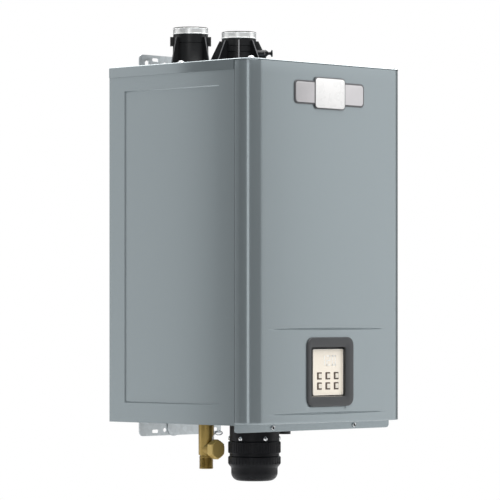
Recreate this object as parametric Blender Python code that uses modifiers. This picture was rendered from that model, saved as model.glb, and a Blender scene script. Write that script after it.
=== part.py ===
"""A wall-hung tankless water heater with a condensing gas burner, in metres, +Z up.

The front faces -Y and the wall is at +Y. The origin is the middle of the upper wall bracket's back face.
In the heater frame, x runs from the middle of the case, y from the wall, z from the cover's lower edge.
"Depth" is measured back from the cover's front face.
"""

import math

import bmesh
import bpy
from mathutils import Matrix

# Driving sizes of the whole heater
case_width = 0.445
case_height = 0.700
case_depth = 0.389
cover_depth = 0.042
wall_gap = 0.012
corner_radius = 0.031
sheet = 0.0012
skirt = 0.002
bracket_rise = 0.0335

# Driving sizes of the connections
vent_depth = 0.2435
vent_spacing = 0.137
exhaust_x = -0.0025
vent_pipe_radius = 0.0302
collar_height = 0.0760
inlet_x = -0.1425
water_depth = 0.197
hot_x = -0.045
gas_x = 0.004
condensate_x = 0.0785
gland_x = 0.125
cartridge_x = -0.1045
cartridge_depth = 0.102
cartridge_radius = 0.0515
cartridge_drop = 0.1134

# Clearances: between touching pieces, round turning pieces, past a wall that is cut, between merged points
fit = 0.0003
running = 0.001
overrun = 0.004
merge_distance = 0.000001

# Facets round a large turned piece, a middling one and a small one, and in a rounded corner
large_facets = 36
facets = 24
small_facets = 12
corner_facets = 4

# Places that follow from the driving sizes
half_width = case_width / 2
back_y = -wall_gap
front_y = back_y - case_depth
seam_y = front_y + cover_depth
lid_under = case_height + fit
lid_top = lid_under + sheet
hang_height = lid_top + bracket_rise / 2
intake_x = exhaust_x - vent_spacing
vent_y = front_y + vent_depth
water_y = front_y + water_depth
cartridge_y = front_y + cartridge_depth
floor_top = -skirt + sheet
inner_half = half_width - sheet - fit
inner_back = back_y - sheet - fit

finishes = {
    "grey paint": ((0.27, 0.31, 0.32), 0.38, 0.0),
    "galvanised": ((0.42, 0.44, 0.45), 0.42, 1.0),
    "stainless": ((0.62, 0.62, 0.60), 0.28, 1.0),
    "copper": ((0.66, 0.34, 0.20), 0.32, 1.0),
    "brass": ((0.48, 0.33, 0.12), 0.34, 1.0),
    "cast aluminium": ((0.50, 0.51, 0.52), 0.50, 1.0),
    "black plastic": ((0.012, 0.012, 0.014), 0.42, 0.0),
    "dark grey plastic": ((0.085, 0.085, 0.088), 0.50, 0.0),
    "cream plastic": ((0.78, 0.74, 0.65), 0.30, 0.0),
    "white plastic": ((0.80, 0.80, 0.79), 0.35, 0.0),
    "silver plastic": ((0.60, 0.58, 0.58), 0.35, 0.6),
    "rubber": ((0.03, 0.03, 0.03), 0.80, 0.0),
    "circuit board": ((0.03, 0.16, 0.07), 0.45, 0.0),
    "bright screw": ((0.70, 0.70, 0.69), 0.25, 1.0),
}

for old in list(bpy.data.objects):
    bpy.data.objects.remove(old, do_unlink=True)
parts = bpy.data.collections.new("tankless_water_heater")
cutters = bpy.data.collections.new("cutters")
bpy.context.scene.collection.children.link(parts)
bpy.context.scene.collection.children.link(cutters)
cutters.hide_render = True


# Helpers: objects and how they are placed
def linked(name, data):
    obj = bpy.data.objects.new(name, data)
    parts.objects.link(obj)
    return obj


def frame(name, location, parent=None):
    """An empty that carries a group of pieces."""
    obj = linked(name, None)
    obj.location = location
    obj.parent = parent
    return obj


def piece(name, shape, finish, parent, location=None, turn=(0, 0, 0)):
    """Makes a shape one named sub-part with its own material, in its place under its frame."""
    shape.name = name
    shape.data.name = name
    shape.parent = parent
    shape.rotation_euler = turn
    if location is not None:
        shape.location = location
    colour, roughness, metallic = finishes[finish]
    material = bpy.data.materials.new(name + " " + finish)
    material.use_nodes = True
    surface = material.node_tree.nodes["Principled BSDF"]
    surface.inputs["Base Color"].default_value = (*colour, 1)
    surface.inputs["Roughness"].default_value = roughness
    surface.inputs["Metallic"].default_value = metallic
    material.diffuse_color = (*colour, 1)
    shape.data.materials.clear()
    shape.data.materials.append(material)
    return shape


def boolean(target, operation, tools):
    for tool in tools:
        modifier = target.modifiers.new(operation.lower(), "BOOLEAN")
        modifier.operation = operation
        modifier.object = tool
        tool.parent = target.parent
        tool.display_type = "WIRE"
        tool.hide_render = True
        parts.objects.unlink(tool)
        cutters.objects.link(tool)


def cut(target, *tools):
    boolean(target, "DIFFERENCE", tools)


def join(target, *tools):
    boolean(target, "UNION", tools)


# Helpers: shapes
def from_bmesh(name, bm):
    mesh = bpy.data.meshes.new(name)
    bm.to_mesh(mesh)
    bm.free()
    return linked(name, mesh)


def block(low, high):
    """A box between two corners, with its origin in its middle."""
    size = [b - a for a, b in zip(low, high)]
    bm = bmesh.new()
    bmesh.ops.create_cube(bm, size=1, matrix=Matrix.Diagonal((*size, 1)))
    obj = from_bmesh("block", bm)
    obj.location = [(a + b) / 2 for a, b in zip(low, high)]
    return obj


def tapered_block(low, high, axis, inset):
    """A box whose face at the high end of one axis is drawn in all round."""
    size = [b - a for a, b in zip(low, high)]
    bm = bmesh.new()
    bmesh.ops.create_cube(bm, size=1, matrix=Matrix.Diagonal((*size, 1)))
    for vertex in bm.verts:
        if vertex.co[axis] > 0:
            for other in {0, 1, 2} - {axis}:
                vertex.co[other] -= math.copysign(inset, vertex.co[other])
    obj = from_bmesh("tapered block", bm)
    obj.location = [(a + b) / 2 for a, b in zip(low, high)]
    return obj


def turned_to(axis):
    """The turn that lays a shape made along Z along another axis."""
    if axis == "X":
        return Matrix.Rotation(math.pi / 2, 4, "Y")
    if axis == "Y":
        return Matrix.Rotation(-math.pi / 2, 4, "X")
    return Matrix.Identity(4)


def drum(radius, length, middle=(0, 0, 0), axis="Z", sides=facets, end_radius=None):
    """A cylinder, or a cone where the far end's radius is given."""
    bm = bmesh.new()
    far = radius if end_radius is None else end_radius
    bmesh.ops.create_cone(
        bm, cap_ends=True, segments=sides, radius1=radius, radius2=far, depth=length, matrix=turned_to(axis)
    )
    obj = from_bmesh("drum", bm)
    obj.location = middle
    obj.data.shade_smooth()
    obj.data.set_sharp_from_angle(angle=math.radians(30))
    return obj


def standing(radius, low, high, x=0, y=0, sides=facets, end_radius=None):
    """A drum on a vertical axis between two heights."""
    return drum(radius, high - low, (x, y, (low + high) / 2), "Z", sides, end_radius)


def turned(profile, sides=facets, ring=False):
    """A body turned about Z from (radius, height) points, from its top down; a ring's profile closes."""
    edges = [(i, i + 1) for i in range(len(profile) - 1)]
    if ring:
        edges.append((len(profile) - 1, 0))
    mesh = bpy.data.meshes.new("profile")
    mesh.from_pydata([(radius, 0, height) for radius, height in profile], edges, [])
    obj = linked("turned", mesh)
    screw = obj.modifiers.new("turn", "SCREW")
    screw.angle = math.tau
    screw.steps = sides
    screw.render_steps = sides
    screw.use_merge_vertices = True
    screw.merge_threshold = merge_distance
    screw.use_smooth_shade = True
    return obj


def made_mesh(curve_obj):
    """The curve object as a mesh with its caps welded on."""
    bpy.context.view_layer.update()
    graph = bpy.context.evaluated_depsgraph_get()
    mesh = bpy.data.meshes.new_from_object(curve_obj.evaluated_get(graph))
    bm = bmesh.new()
    bm.from_mesh(mesh)
    bmesh.ops.remove_doubles(bm, verts=bm.verts, dist=merge_distance)
    bm.to_mesh(mesh)
    bm.free()
    obj = linked("outline", mesh)
    obj.matrix_world = curve_obj.matrix_world.copy()
    bpy.data.objects.remove(curve_obj)
    return obj


def plate(outline, thickness, holes=(), upright=False):
    """A flat plate from its outline and its holes, lying flat, or upright and facing along Y."""
    curve = bpy.data.curves.new("outline", "CURVE")
    curve.dimensions = "2D"
    curve.fill_mode = "BOTH"
    curve.extrude = thickness / 2
    for points in (outline, *holes):
        spline = curve.splines.new("POLY")
        spline.points.add(len(points) - 1)
        for point, (across, along) in zip(spline.points, points):
            point.co = (across, along, 0, 1)
        spline.use_cyclic_u = True
    obj = made_mesh(linked("outline", curve))
    if upright:
        obj.data.transform(Matrix.Rotation(math.pi / 2, 4, "X"))
    return obj


def arc(centre_x, centre_y, radius, start, end, steps=corner_facets):
    """Points on an arc, with its angles in degrees."""
    found = []
    for step in range(steps + 1):
        angle = math.radians(start + (end - start) * step / steps)
        found.append((centre_x + radius * math.cos(angle), centre_y + radius * math.sin(angle)))
    return found


def circle(x, y, radius, sides=facets):
    return arc(x, y, radius, 0, 360, sides)[:-1]


def rounded(low_x, low_y, high_x, high_y, radius, steps=corner_facets):
    """A rectangle with round corners."""
    return (
        arc(low_x + radius, low_y + radius, radius, 180, 270, steps)
        + arc(high_x - radius, low_y + radius, radius, 270, 360, steps)
        + arc(high_x - radius, high_y - radius, radius, 0, 90, steps)
        + arc(low_x + radius, high_y - radius, radius, 90, 180, steps)
    )


def bowed(half, radius, front, rear):
    """The plan of the cover: straight sides, round front corners and a flat back."""
    return [
        (-half, rear),
        *arc(-half + radius, front + radius, radius, 180, 270),
        *arc(half - radius, front + radius, radius, 270, 360),
        (half, rear),
    ]


def pipe(route, radius, bend, bend_steps=5):
    """A round pipe along straight runs with an easy bend at each corner."""
    points = [route[0]]
    for before, corner, after in zip(route, route[1:], route[2:]):
        back = math.dist(before, corner)
        ahead = math.dist(corner, after)
        start = [c + (b - c) * bend / back for b, c in zip(before, corner)]
        end = [c + (a - c) * bend / ahead for a, c in zip(after, corner)]
        for step in range(bend_steps + 1):
            t = step / bend_steps
            points.append(
                [(1 - t) ** 2 * s + 2 * t * (1 - t) * c + t * t * e for s, c, e in zip(start, corner, end)]
            )
    points.append(route[-1])
    curve = bpy.data.curves.new("pipe", "CURVE")
    curve.dimensions = "3D"
    curve.bevel_depth = radius
    curve.bevel_resolution = 2
    curve.use_fill_caps = True
    spline = curve.splines.new("POLY")
    spline.points.add(len(points) - 1)
    for point, place in zip(spline.points, points):
        point.co = (*place, 1)
    return linked("pipe", curve)


def crossed_plates(count, reach, thickness, low, high, x=0, y=0):
    """Thin plates through one vertical axis, evenly turned: each makes two opposite blades."""
    found = []
    for index in range(count):
        obj = block((-reach, -thickness / 2, low), (reach, thickness / 2, high))
        obj.location = (x, y, (low + high) / 2)
        obj.rotation_euler = (0, 0, math.pi * index / count)
        found.append(obj)
    return found


heater = frame("heater_frame", (0, 0, -hang_height))
carriage = frame("cover_carriage", (0, front_y, 0), heater)

# Back panel
back_panel = piece(
    "back_panel",
    block((-inner_half, back_y - sheet, -skirt), (inner_half, back_y, case_height)),
    "grey paint",
    heater,
)

# Side panels: each a flat sheet with a shallow recess, and a flange turned in under the lid
recess_front_depth = 0.0837
recess_rear_depth = 0.3465
recess_low = 0.036
recess_high = 0.654
recess_sink = 0.0025
recess_bevel = 0.003
flange_reach = 0.016
side_screw_inset = 0.012
side_screw_depth = 0.198
side_screw_y = front_y + side_screw_depth
screw_shank = 0.002
shank_hole = screw_shank + fit
for side, sign in (("left", -1), ("right", 1)):
    outer = sign * half_width

    def sideways(low_offset, high_offset, low, high):
        """A box whose width is given inwards from the panel's outer face."""
        xs = sorted((outer - sign * low_offset, outer - sign * high_offset))
        return block((xs[0], *low), (xs[1], *high))

    panel = piece(
        side + "_side_panel",
        sideways(0, sheet, (seam_y + fit, -skirt), (back_y, case_height)),
        "grey paint",
        heater,
    )
    join(
        panel,
        sideways(
            sheet / 2,
            recess_sink + sheet,
            (front_y + recess_front_depth - sheet, recess_low - sheet),
            (front_y + recess_rear_depth + sheet, recess_high + sheet),
        ),
        sideways(
            sheet / 2, flange_reach, (seam_y + fit + sheet, case_height - sheet), (inner_back, case_height)
        ),
    )
    recess = tapered_block(
        (-overrun, front_y + recess_front_depth - recess_bevel, recess_low - recess_bevel),
        (recess_sink, front_y + recess_rear_depth + recess_bevel, recess_high + recess_bevel),
        0,
        2 * recess_bevel,
    )
    if sign > 0:
        recess.data.transform(Matrix.Rotation(math.pi, 4, "Z"))
    recess.location.x = outer - sign * (recess_sink - overrun) / 2
    cut(panel, recess)
    if sign < 0:
        hole_x = -half_width + side_screw_inset
        hole = standing(
            shank_hole, case_height - overrun, case_height + overrun, hole_x, side_screw_y, small_facets
        )
        cut(panel, hole)

# Bottom panel: the floor the connections pass through, with a lip turned down behind the tab strip
inlet_hole = 0.0155
hot_hole = 0.0145
gas_hole = 0.0142
condensate_hole = 0.0112
gland_hole = 0.0102
neck_radius = 0.030
tab_drop = 0.0162
lip_gap = tab_drop - skirt
floor_front = seam_y + fit
floor_holes = [
    circle(inlet_x, water_y, inlet_hole),
    circle(hot_x, water_y, hot_hole),
    circle(gas_x, water_y, gas_hole),
    circle(condensate_x, water_y, condensate_hole),
    circle(gland_x, water_y, gland_hole),
    circle(cartridge_x, cartridge_y, neck_radius + fit, large_facets),
]
floor_outline = [
    (-inner_half, floor_front),
    (inner_half, floor_front),
    (inner_half, inner_back),
    (-inner_half, inner_back),
]
bottom_panel = piece(
    "bottom_panel",
    plate(floor_outline, sheet, floor_holes),
    "grey paint",
    heater,
    (0, 0, floor_top - sheet / 2),
)
join(
    bottom_panel,
    block((-inner_half, floor_front, -skirt - lip_gap + sheet), (inner_half, floor_front + sheet, floor_top)),
)

# Lid: a flat sheet over cover and case, with a lip turned down outside each side panel
lid_lip = 0.020
lid_half = half_width + fit + sheet
front_screw_inset = 0.020
front_screw_depth = 0.016
front_screw_y = front_y + front_screw_depth
collar_spigot = 0.0325
lid_outline = [
    (x, y + front_y) for x, y in bowed(lid_half - sheet / 2, corner_radius, 0, case_depth)
]
lid_screws = {
    "lid_screw_front_left": (-half_width + front_screw_inset, front_screw_y),
    "lid_screw_front_right": (half_width - front_screw_inset, front_screw_y),
    "lid_screw_left": (-half_width + side_screw_inset, side_screw_y),
}
lid_holes = [circle(x, y, shank_hole, small_facets) for x, y in lid_screws.values()]
lid_holes += [circle(x, vent_y, collar_spigot + fit, large_facets) for x in (exhaust_x, intake_x)]
top_panel = piece(
    "top_panel",
    plate(lid_outline, sheet, lid_holes),
    "grey paint",
    heater,
    (0, 0, lid_under + sheet / 2),
)
for sign in (-1, 1):
    lip_xs = sorted((sign * lid_half, sign * (lid_half - sheet)))
    join(
        top_panel,
        block((lip_xs[0], seam_y + running, lid_top - lid_lip), (lip_xs[1], back_y - fit, lid_top)),
    )

# Lid screws: dome heads on short shanks
dome_radius = 0.0052
dome_height = 0.0045
dome_edge = 0.0012
lid_shank = 0.006


def dome_screw():
    profile = [
        (0, dome_height),
        (dome_radius * math.sin(math.radians(40)), dome_height * math.cos(math.radians(25))),
        (dome_radius, dome_edge),
        (dome_radius, 0),
        (screw_shank, 0),
        (screw_shank, -lid_shank),
        (0, -lid_shank),
    ]
    return turned(profile, small_facets)


for name, (x, y) in lid_screws.items():
    piece(name, dome_screw(), "bright screw", heater, (x, y, lid_top + fit))

# Front cover: one bowed sheet with flanges, an opening for the controller, creases and a tab strip below
tab_corner = 0.008
tab_screw_x = 0.117
tab_screw_z = -0.0085
bezel_middle_x = 0.002
bezel_middle_z = 0.0992
bezel_width = 0.1325
bezel_height = 0.135
window_width = 0.0985
window_height = 0.097
window_shift_x = -0.0069
sleeve_wall = 0.005
crease_half = 0.1675
crease_heights = (0.0185, 0.183)
crease_half_width = 0.0028
crease_sink = 0.0008
opening_half_width = window_width / 2 + sleeve_wall + fit
opening_half_height = window_height / 2 + sleeve_wall + fit
opening_corner = 0.006

front_cover = piece(
    "front_cover",
    plate(bowed(half_width, corner_radius, 0, cover_depth), case_height),
    "grey paint",
    carriage,
    (0, 0, case_height / 2),
)
hollow = plate(
    bowed(half_width - sheet, corner_radius - sheet, sheet, cover_depth + overrun), case_height - 2 * sheet
)
hollow.location = (0, 0, case_height / 2)
tab_outline = [
    (half_width, sheet / 2),
    (-half_width, sheet / 2),
    *arc(-half_width + tab_corner, -tab_drop + tab_corner, tab_corner, 180, 270),
    *arc(half_width - tab_corner, -tab_drop + tab_corner, tab_corner, 270, 360),
]
tab_holes = [circle(sign * tab_screw_x, tab_screw_z, shank_hole, small_facets) for sign in (-1, 1)]
tab_strip = plate(tab_outline, sheet, tab_holes, upright=True)
tab_strip.location = (0, cover_depth - sheet / 2, 0)
opening_outline = rounded(
    -opening_half_width, -opening_half_height, opening_half_width, opening_half_height, opening_corner
)
opening = plate(opening_outline, 2 * overrun, upright=True)
face_x = bezel_middle_x + window_shift_x
face_z = bezel_middle_z
opening.location = (face_x, 0, face_z)
cut(front_cover, hollow)
join(front_cover, tab_strip)
cut(front_cover, opening)
for sign in (-1, 1):
    notch_x = sign * (half_width - front_screw_inset)
    cut(
        front_cover,
        block(
            (notch_x - shank_hole, front_screw_depth - shank_hole, case_height - sheet - overrun),
            (notch_x + shank_hole, cover_depth + overrun, case_height + overrun),
        ),
    )
for height in crease_heights:
    bm = bmesh.new()
    bmesh.ops.create_uvsphere(
        bm,
        u_segments=small_facets,
        v_segments=small_facets,
        radius=1,
        matrix=Matrix.Diagonal((crease_half_width, crease_sink, crease_half, 1)),
    )
    crease = from_bmesh("crease", bm)
    crease.location = (0, 0, height)
    crease.rotation_euler = (0, math.pi / 2, 0)
    cut(front_cover, crease)
for sign in (-1, 1):
    hole_middle = (sign * tab_screw_x, floor_front, tab_screw_z)
    cut(bottom_panel, drum(shank_hole, 2 * overrun, hole_middle, "Y", small_facets))

# Cover seal: a rubber frame just inside the seam
seal_width = 0.008
seal_thickness = 0.003
seal_half = inner_half - fit
seal_low = floor_top + fit
seal_high = case_height - sheet - fit
seal_hole = rounded(
    -seal_half + seal_width, seal_low + seal_width, seal_half - seal_width, seal_high - seal_width, sheet, 2
)
cover_seal = piece(
    "cover_seal",
    plate(
        rounded(-seal_half, seal_low, seal_half, seal_high, sheet, 2),
        seal_thickness,
        [seal_hole],
        upright=True,
    ),
    "rubber",
    heater,
    (0, floor_front + sheet + fit + seal_thickness / 2, 0),
)

# Cover screws: pan heads in the tab strip, captive in the cover
pan_radius = 0.0048
pan_height = 0.0026
pan_edge = 0.0008
tab_shank = 0.010


def pan_screw():
    profile = [
        (0, pan_height),
        (pan_radius - pan_edge, pan_height),
        (pan_radius, pan_height - pan_edge),
        (pan_radius, 0),
        (screw_shank, 0),
        (screw_shank, -tab_shank),
        (0, -tab_shank),
    ]
    return turned(profile, small_facets)


for side, sign in (("left", -1), ("right", 1)):
    piece(
        "cover_screw_" + side,
        pan_screw(),
        "bright screw",
        carriage,
        (sign * tab_screw_x, cover_depth - sheet - fit, tab_screw_z),
        (math.pi / 2, 0, 0),
    )

# Controller: bezel, sunk face plate with window and six keys, and its board
bezel_proud = 0.0038
bezel_corner = 0.013
window_corner = 0.004
plate_sink = 0.0070
sleeve_depth = 0.0125
sleeve_lip = 0.0022
bezel_edge = 0.0012
bezel = piece(
    "controller_bezel",
    plate(
        rounded(-bezel_width / 2, -bezel_height / 2, bezel_width / 2, bezel_height / 2, bezel_corner),
        bezel_proud - fit,
        upright=True,
    ),
    "dark grey plastic",
    carriage,
    (bezel_middle_x, -(bezel_proud + fit) / 2, bezel_middle_z),
)
rim = bezel.modifiers.new("edge", "BEVEL")
rim.width = bezel_edge
rim.segments = 1
rim.limit_method = "ANGLE"
rim.angle_limit = math.radians(60)
sleeve_half_width = opening_half_width - fit
sleeve_half_height = opening_half_height - fit
sleeve_outline = rounded(
    -sleeve_half_width, -sleeve_half_height, sleeve_half_width, sleeve_half_height, opening_corner
)
sleeve = plate(sleeve_outline, sleeve_depth + bezel_proud / 2, upright=True)
sleeve.location = (face_x, (sleeve_depth - bezel_proud / 2) / 2, face_z)
join(bezel, sleeve)
window = plate(
    rounded(-window_width / 2, -window_height / 2, window_width / 2, window_height / 2, window_corner),
    2 * sleeve_depth + 2 * overrun,
    upright=True,
)
window.location = (face_x, 0, face_z)
lip_back = plate_sink - bezel_proud
plate_half_width = window_width / 2 + sleeve_lip
plate_half_height = window_height / 2 + sleeve_lip
seat_half_width = plate_half_width + fit
seat_half_height = plate_half_height + fit
seat = plate(
    rounded(-seat_half_width, -seat_half_height, seat_half_width, seat_half_height, window_corner),
    sleeve_depth - lip_back + overrun,
    upright=True,
)
seat.location = (face_x, (sleeve_depth + lip_back + overrun) / 2, face_z)
cut(bezel, window, seat)

key_size = 0.012
key_pitch_x = 0.0241
key_pitch_z = 0.0198
key_shift_x = 0.0052
key_row_z = -0.0079
key_gap = 0.0004
key_proud = 0.0008
key_travel = 0.0015
key_flange = 0.001
key_flange_thickness = 0.0008
plate_thickness = 0.0022
display_width = 0.056
display_height = 0.026
display_x = 0.0066
display_z = 0.022
display_overlap = 0.002
display_thickness = 0.0012
key_columns = (-key_pitch_x, 0, key_pitch_x)
key_rows = (0, -key_pitch_z)
key_places = [(key_shift_x + across, key_row_z + down) for down in key_rows for across in key_columns]
hole_half = key_size / 2 + key_gap
key_holes = [
    rounded(x - hole_half, z - hole_half, x + hole_half, z + hole_half, key_flange, 2) for x, z in key_places
]
display_left = display_x - display_width / 2
display_right = display_x + display_width / 2
display_low = display_z - display_height / 2
display_high = display_z + display_height / 2
display_hole = rounded(display_left, display_low, display_right, display_high, key_flange, 2)
plate_front = lip_back + fit
piece(
    "controller_plate",
    plate(
        rounded(-plate_half_width, -plate_half_height, plate_half_width, plate_half_height, window_corner),
        plate_thickness,
        [*key_holes, display_hole],
        upright=True,
    ),
    "cream plastic",
    carriage,
    (face_x, plate_front + plate_thickness / 2, face_z),
)
plate_rear = plate_front + plate_thickness
piece(
    "display_window",
    plate(
        rounded(
            display_left - display_overlap,
            display_low - display_overlap,
            display_right + display_overlap,
            display_high + display_overlap,
            key_flange,
            2,
        ),
        display_thickness,
        upright=True,
    ),
    "white plastic",
    carriage,
    (face_x, plate_rear + fit + display_thickness / 2, face_z),
)
for number, (x, z) in enumerate(key_places, 1):
    key_back = plate_rear + fit + key_flange_thickness
    key_front = plate_front - key_proud
    key_outline = rounded(-key_size / 2, -key_size / 2, key_size / 2, key_size / 2, key_flange, 2)
    key = piece(
        f"key_{number}",
        plate(key_outline, key_back - key_front, upright=True),
        "cream plastic",
        carriage,
        (face_x + x, (key_front + key_back) / 2, face_z + z),
    )
    flange_half = key_size / 2 + key_flange
    join(
        key,
        block(
            (face_x + x - flange_half, key_back - key_flange_thickness, face_z + z - flange_half),
            (face_x + x + flange_half, key_back, face_z + z + flange_half),
        ),
    )
board_front = key_back + key_travel + fit
board_thickness = 0.0016
piece(
    "controller_board",
    plate(
        rounded(-plate_half_width, -plate_half_height, plate_half_width, plate_half_height, window_corner),
        board_thickness,
        upright=True,
    ),
    "circuit board",
    carriage,
    (face_x, board_front + board_thickness / 2, face_z),
)

# Badge: a plain bar with a plain block in its middle
badge_width = 0.200
badge_height = 0.046
badge_corner = 0.008
badge_middle_z = 0.643
badge_thickness = 0.0018
badge_block_width = 0.088
badge_block_height = 0.062
badge_block_thickness = 0.0028
badge = piece(
    "badge_plate",
    plate(
        rounded(-badge_width / 2, -badge_height / 2, badge_width / 2, badge_height / 2, badge_corner),
        badge_thickness,
        upright=True,
    ),
    "silver plastic",
    carriage,
    (0, -fit - badge_thickness / 2, badge_middle_z),
)
block_half = badge_block_width / 2
block_rise = badge_block_height / 2
badge_block = plate(
    rounded(-block_half, -block_rise, block_half, block_rise, badge_corner),
    badge_block_thickness,
    upright=True,
)
badge_block.location = (0, -fit - badge_thickness / 2 - badge_block_thickness / 2, badge_middle_z)
join(badge, badge_block)

# Wall brackets: stepped strips from the back panel out to the wall plane
bracket_half = 0.130
bracket_sheet = 0.002
bracket_overlap = 0.060
bracket_corner = 0.010
lower_drop = 0.0325
low_round_share = 2 / 3
slot_x = 0.085
slot_half = 0.009
slot_rise = 0.0035
oval_x = 0.109
oval_half = 0.0055
stud_hole_x = 0.058
stud_hole = 0.0046
lower_reach = 0.104
pad_x = 0.034
pad_radius = 0.018
pad_thickness = 0.0012


def bracket(name, edge, tip, step, holes):
    """One bracket: its strip on the wall runs from edge to tip, its other strip lies on the back panel."""
    up = math.copysign(1, tip - edge)
    outline = [
        (-bracket_half, edge - up * bracket_sheet),
        (bracket_half, edge - up * bracket_sheet),
        *arc(bracket_half - bracket_corner, tip - up * bracket_corner, bracket_corner, 0, up * 90),
        *arc(-bracket_half + bracket_corner, tip - up * bracket_corner, bracket_corner, up * 90, up * 180),
    ]
    strip = plate(outline, bracket_sheet, holes, upright=True)
    body = piece(name, strip, "galvanised", heater, (0, -bracket_sheet / 2, 0))
    web = sorted((edge, edge - up * bracket_sheet))
    leaf = sorted((edge, edge - up * step))
    join(
        body,
        block((-bracket_half, back_y + fit, web[0]), (bracket_half, -bracket_sheet / 2, web[1])),
        block((-bracket_half, back_y + fit, leaf[0]), (bracket_half, back_y + fit + bracket_sheet, leaf[1])),
    )
    return body


top_tip = lid_top + bracket_rise
top_slot_z = top_tip - slot_half
top_holes = []
for sign in (-1, 1):
    xs = sorted((sign * (slot_x - slot_half), sign * (slot_x + slot_half)))
    top_holes.append(
        rounded(xs[0], top_slot_z - slot_rise, xs[1], top_slot_z + slot_rise, slot_rise - fit, 4)
    )
    xs = sorted((sign * (oval_x - oval_half), sign * (oval_x + oval_half)))
    top_holes.append(
        rounded(xs[0], hang_height - 2 * oval_half, xs[1], hang_height + oval_half, oval_half - fit, 4)
    )
    top_holes.append(circle(sign * stud_hole_x, hang_height, stud_hole, small_facets))
upper_bracket = bracket("upper_wall_bracket", case_height, top_tip, bracket_overlap, top_holes)
low_tip = -skirt - lower_drop
low_slot_z = low_tip + slot_half
low_round_z = -skirt - lower_drop * low_round_share
low_holes = []
for sign in (-1, 1):
    xs = sorted((sign * (slot_x - slot_half), sign * (slot_x + slot_half)))
    low_holes.append(
        rounded(xs[0], low_slot_z - slot_rise, xs[1], low_slot_z + slot_rise, slot_rise - fit, 4)
    )
    low_holes.append(circle(sign * stud_hole_x, low_round_z, stud_hole, small_facets))
lower_bracket = bracket("lower_wall_bracket", -skirt, low_tip, bracket_overlap, low_holes)
cut(
    lower_bracket,
    block((lower_reach, back_y - overrun, low_tip - overrun), (bracket_half + overrun, overrun, -skirt)),
)
pad_z = -skirt - lower_drop / 2
pad_place = (-pad_x, -bracket_sheet - pad_thickness / 2, pad_z)
pad = drum(pad_radius, bracket_sheet + pad_thickness, pad_place, "Y")
pad_trim = block(
    (-pad_x - 2 * pad_radius, -2 * overrun, pad_z), (-pad_x + 2 * pad_radius, overrun, pad_z + 2 * pad_radius)
)
cut(pad, pad_trim)
join(lower_bracket, pad)

# Vent collars: black sockets for plastic vent pipe, each with a bright clamp band near its mouth
socket_radius = vent_pipe_radius + fit
socket_depth = 0.060
stop_radius = 0.0275
collar_foot = 0.0358
collar_mouth = 0.0345
band_height = 0.0118
band_thickness = 0.0012
band_drop = 0.0018
groove = 0.0008
groove_half = 0.0012
groove_lift = 0.0445
spigot_drop = 0.020
gusset_thickness = 0.003
exhaust_gusset_foot = 0.065
exhaust_gusset_top = 0.0388
exhaust_gusset_height = 0.058
intake_gusset_foot = 0.0525
intake_gusset_top = 0.0400
intake_gusset_height = 0.056
clip_out = 0.0405
clip_width = 0.009
clip_low = 0.040
clip_high = 0.058


def collar_blank(rings):
    """The collar without its bore: spigot, body with ring grooves, seat for the clamp band, and lip."""
    band_top = collar_height - band_drop
    band_low = band_top - band_height
    seat_radius = collar_mouth - band_thickness - fit
    profile = [
        (0, collar_height),
        (seat_radius + fit, collar_height),
        (seat_radius + fit, band_top + fit),
        (seat_radius, band_top),
        (seat_radius, band_low - fit),
        (collar_mouth, band_low - fit),
    ]
    for lift in rings:
        share = lift / band_low
        radius = collar_foot + (collar_mouth - collar_foot) * share
        profile += [
            (radius, lift + groove_half),
            (radius - groove, lift + groove_half),
            (radius - groove, lift - groove_half),
            (radius, lift - groove_half),
        ]
    profile += [(collar_foot, fit), (collar_spigot, fit), (collar_spigot, -spigot_drop), (0, -spigot_drop)]
    return turned(profile, large_facets)


def gusset_pair(foot, top, height, angle):
    """Two opposite gussets as one plate through the collar's axis."""
    tip = fit + gusset_thickness
    outline = [(-foot, fit), (foot, fit), (foot, tip), (top, height), (-top, height), (-foot, tip)]
    obj = plate(outline, gusset_thickness, upright=True)
    obj.rotation_euler = (0, 0, angle)
    return obj


def bore_cutter():
    profile = [
        (0, collar_height + overrun),
        (socket_radius, collar_height + overrun),
        (socket_radius, collar_height - socket_depth),
        (stop_radius, collar_height - socket_depth),
        (stop_radius, -spigot_drop - overrun),
        (0, -spigot_drop - overrun),
    ]
    return turned(profile, large_facets)


port_angle = math.radians(-46)
port_lift = 0.034
port_boss = 0.0068
port_start = 0.052
port_end = 0.068
port_neck = 0.0038
port_flange = 0.0077
port_flange_thickness = 0.0038
exhaust_rings = (0.0465, 0.0345)
exhaust_mouth = frame("exhaust_axis", (exhaust_x, vent_y, lid_top), heater)
exhaust_collar = piece("exhaust_collar", collar_blank(exhaust_rings), "black plastic", exhaust_mouth)
for index in range(4):
    join(
        exhaust_collar,
        gusset_pair(
            exhaust_gusset_foot, exhaust_gusset_top, exhaust_gusset_height, math.pi * index / 4 + port_angle
        ),
    )
boss = drum(port_boss, port_start - stop_radius, axis="X", sides=small_facets)
boss.location = (
    (port_start + stop_radius) / 2 * math.cos(port_angle),
    (port_start + stop_radius) / 2 * math.sin(port_angle),
    port_lift,
)
boss.rotation_euler = (0, 0, port_angle)
port_room = drum(port_flange + running, 2 * port_end - 2 * port_start, axis="X", sides=small_facets)
port_room.location = (port_end * math.cos(port_angle), port_end * math.sin(port_angle), port_lift)
port_room.rotation_euler = (0, 0, port_angle)
join(exhaust_collar, boss)
cut(exhaust_collar, bore_cutter())
cut(exhaust_collar, port_room)
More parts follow.
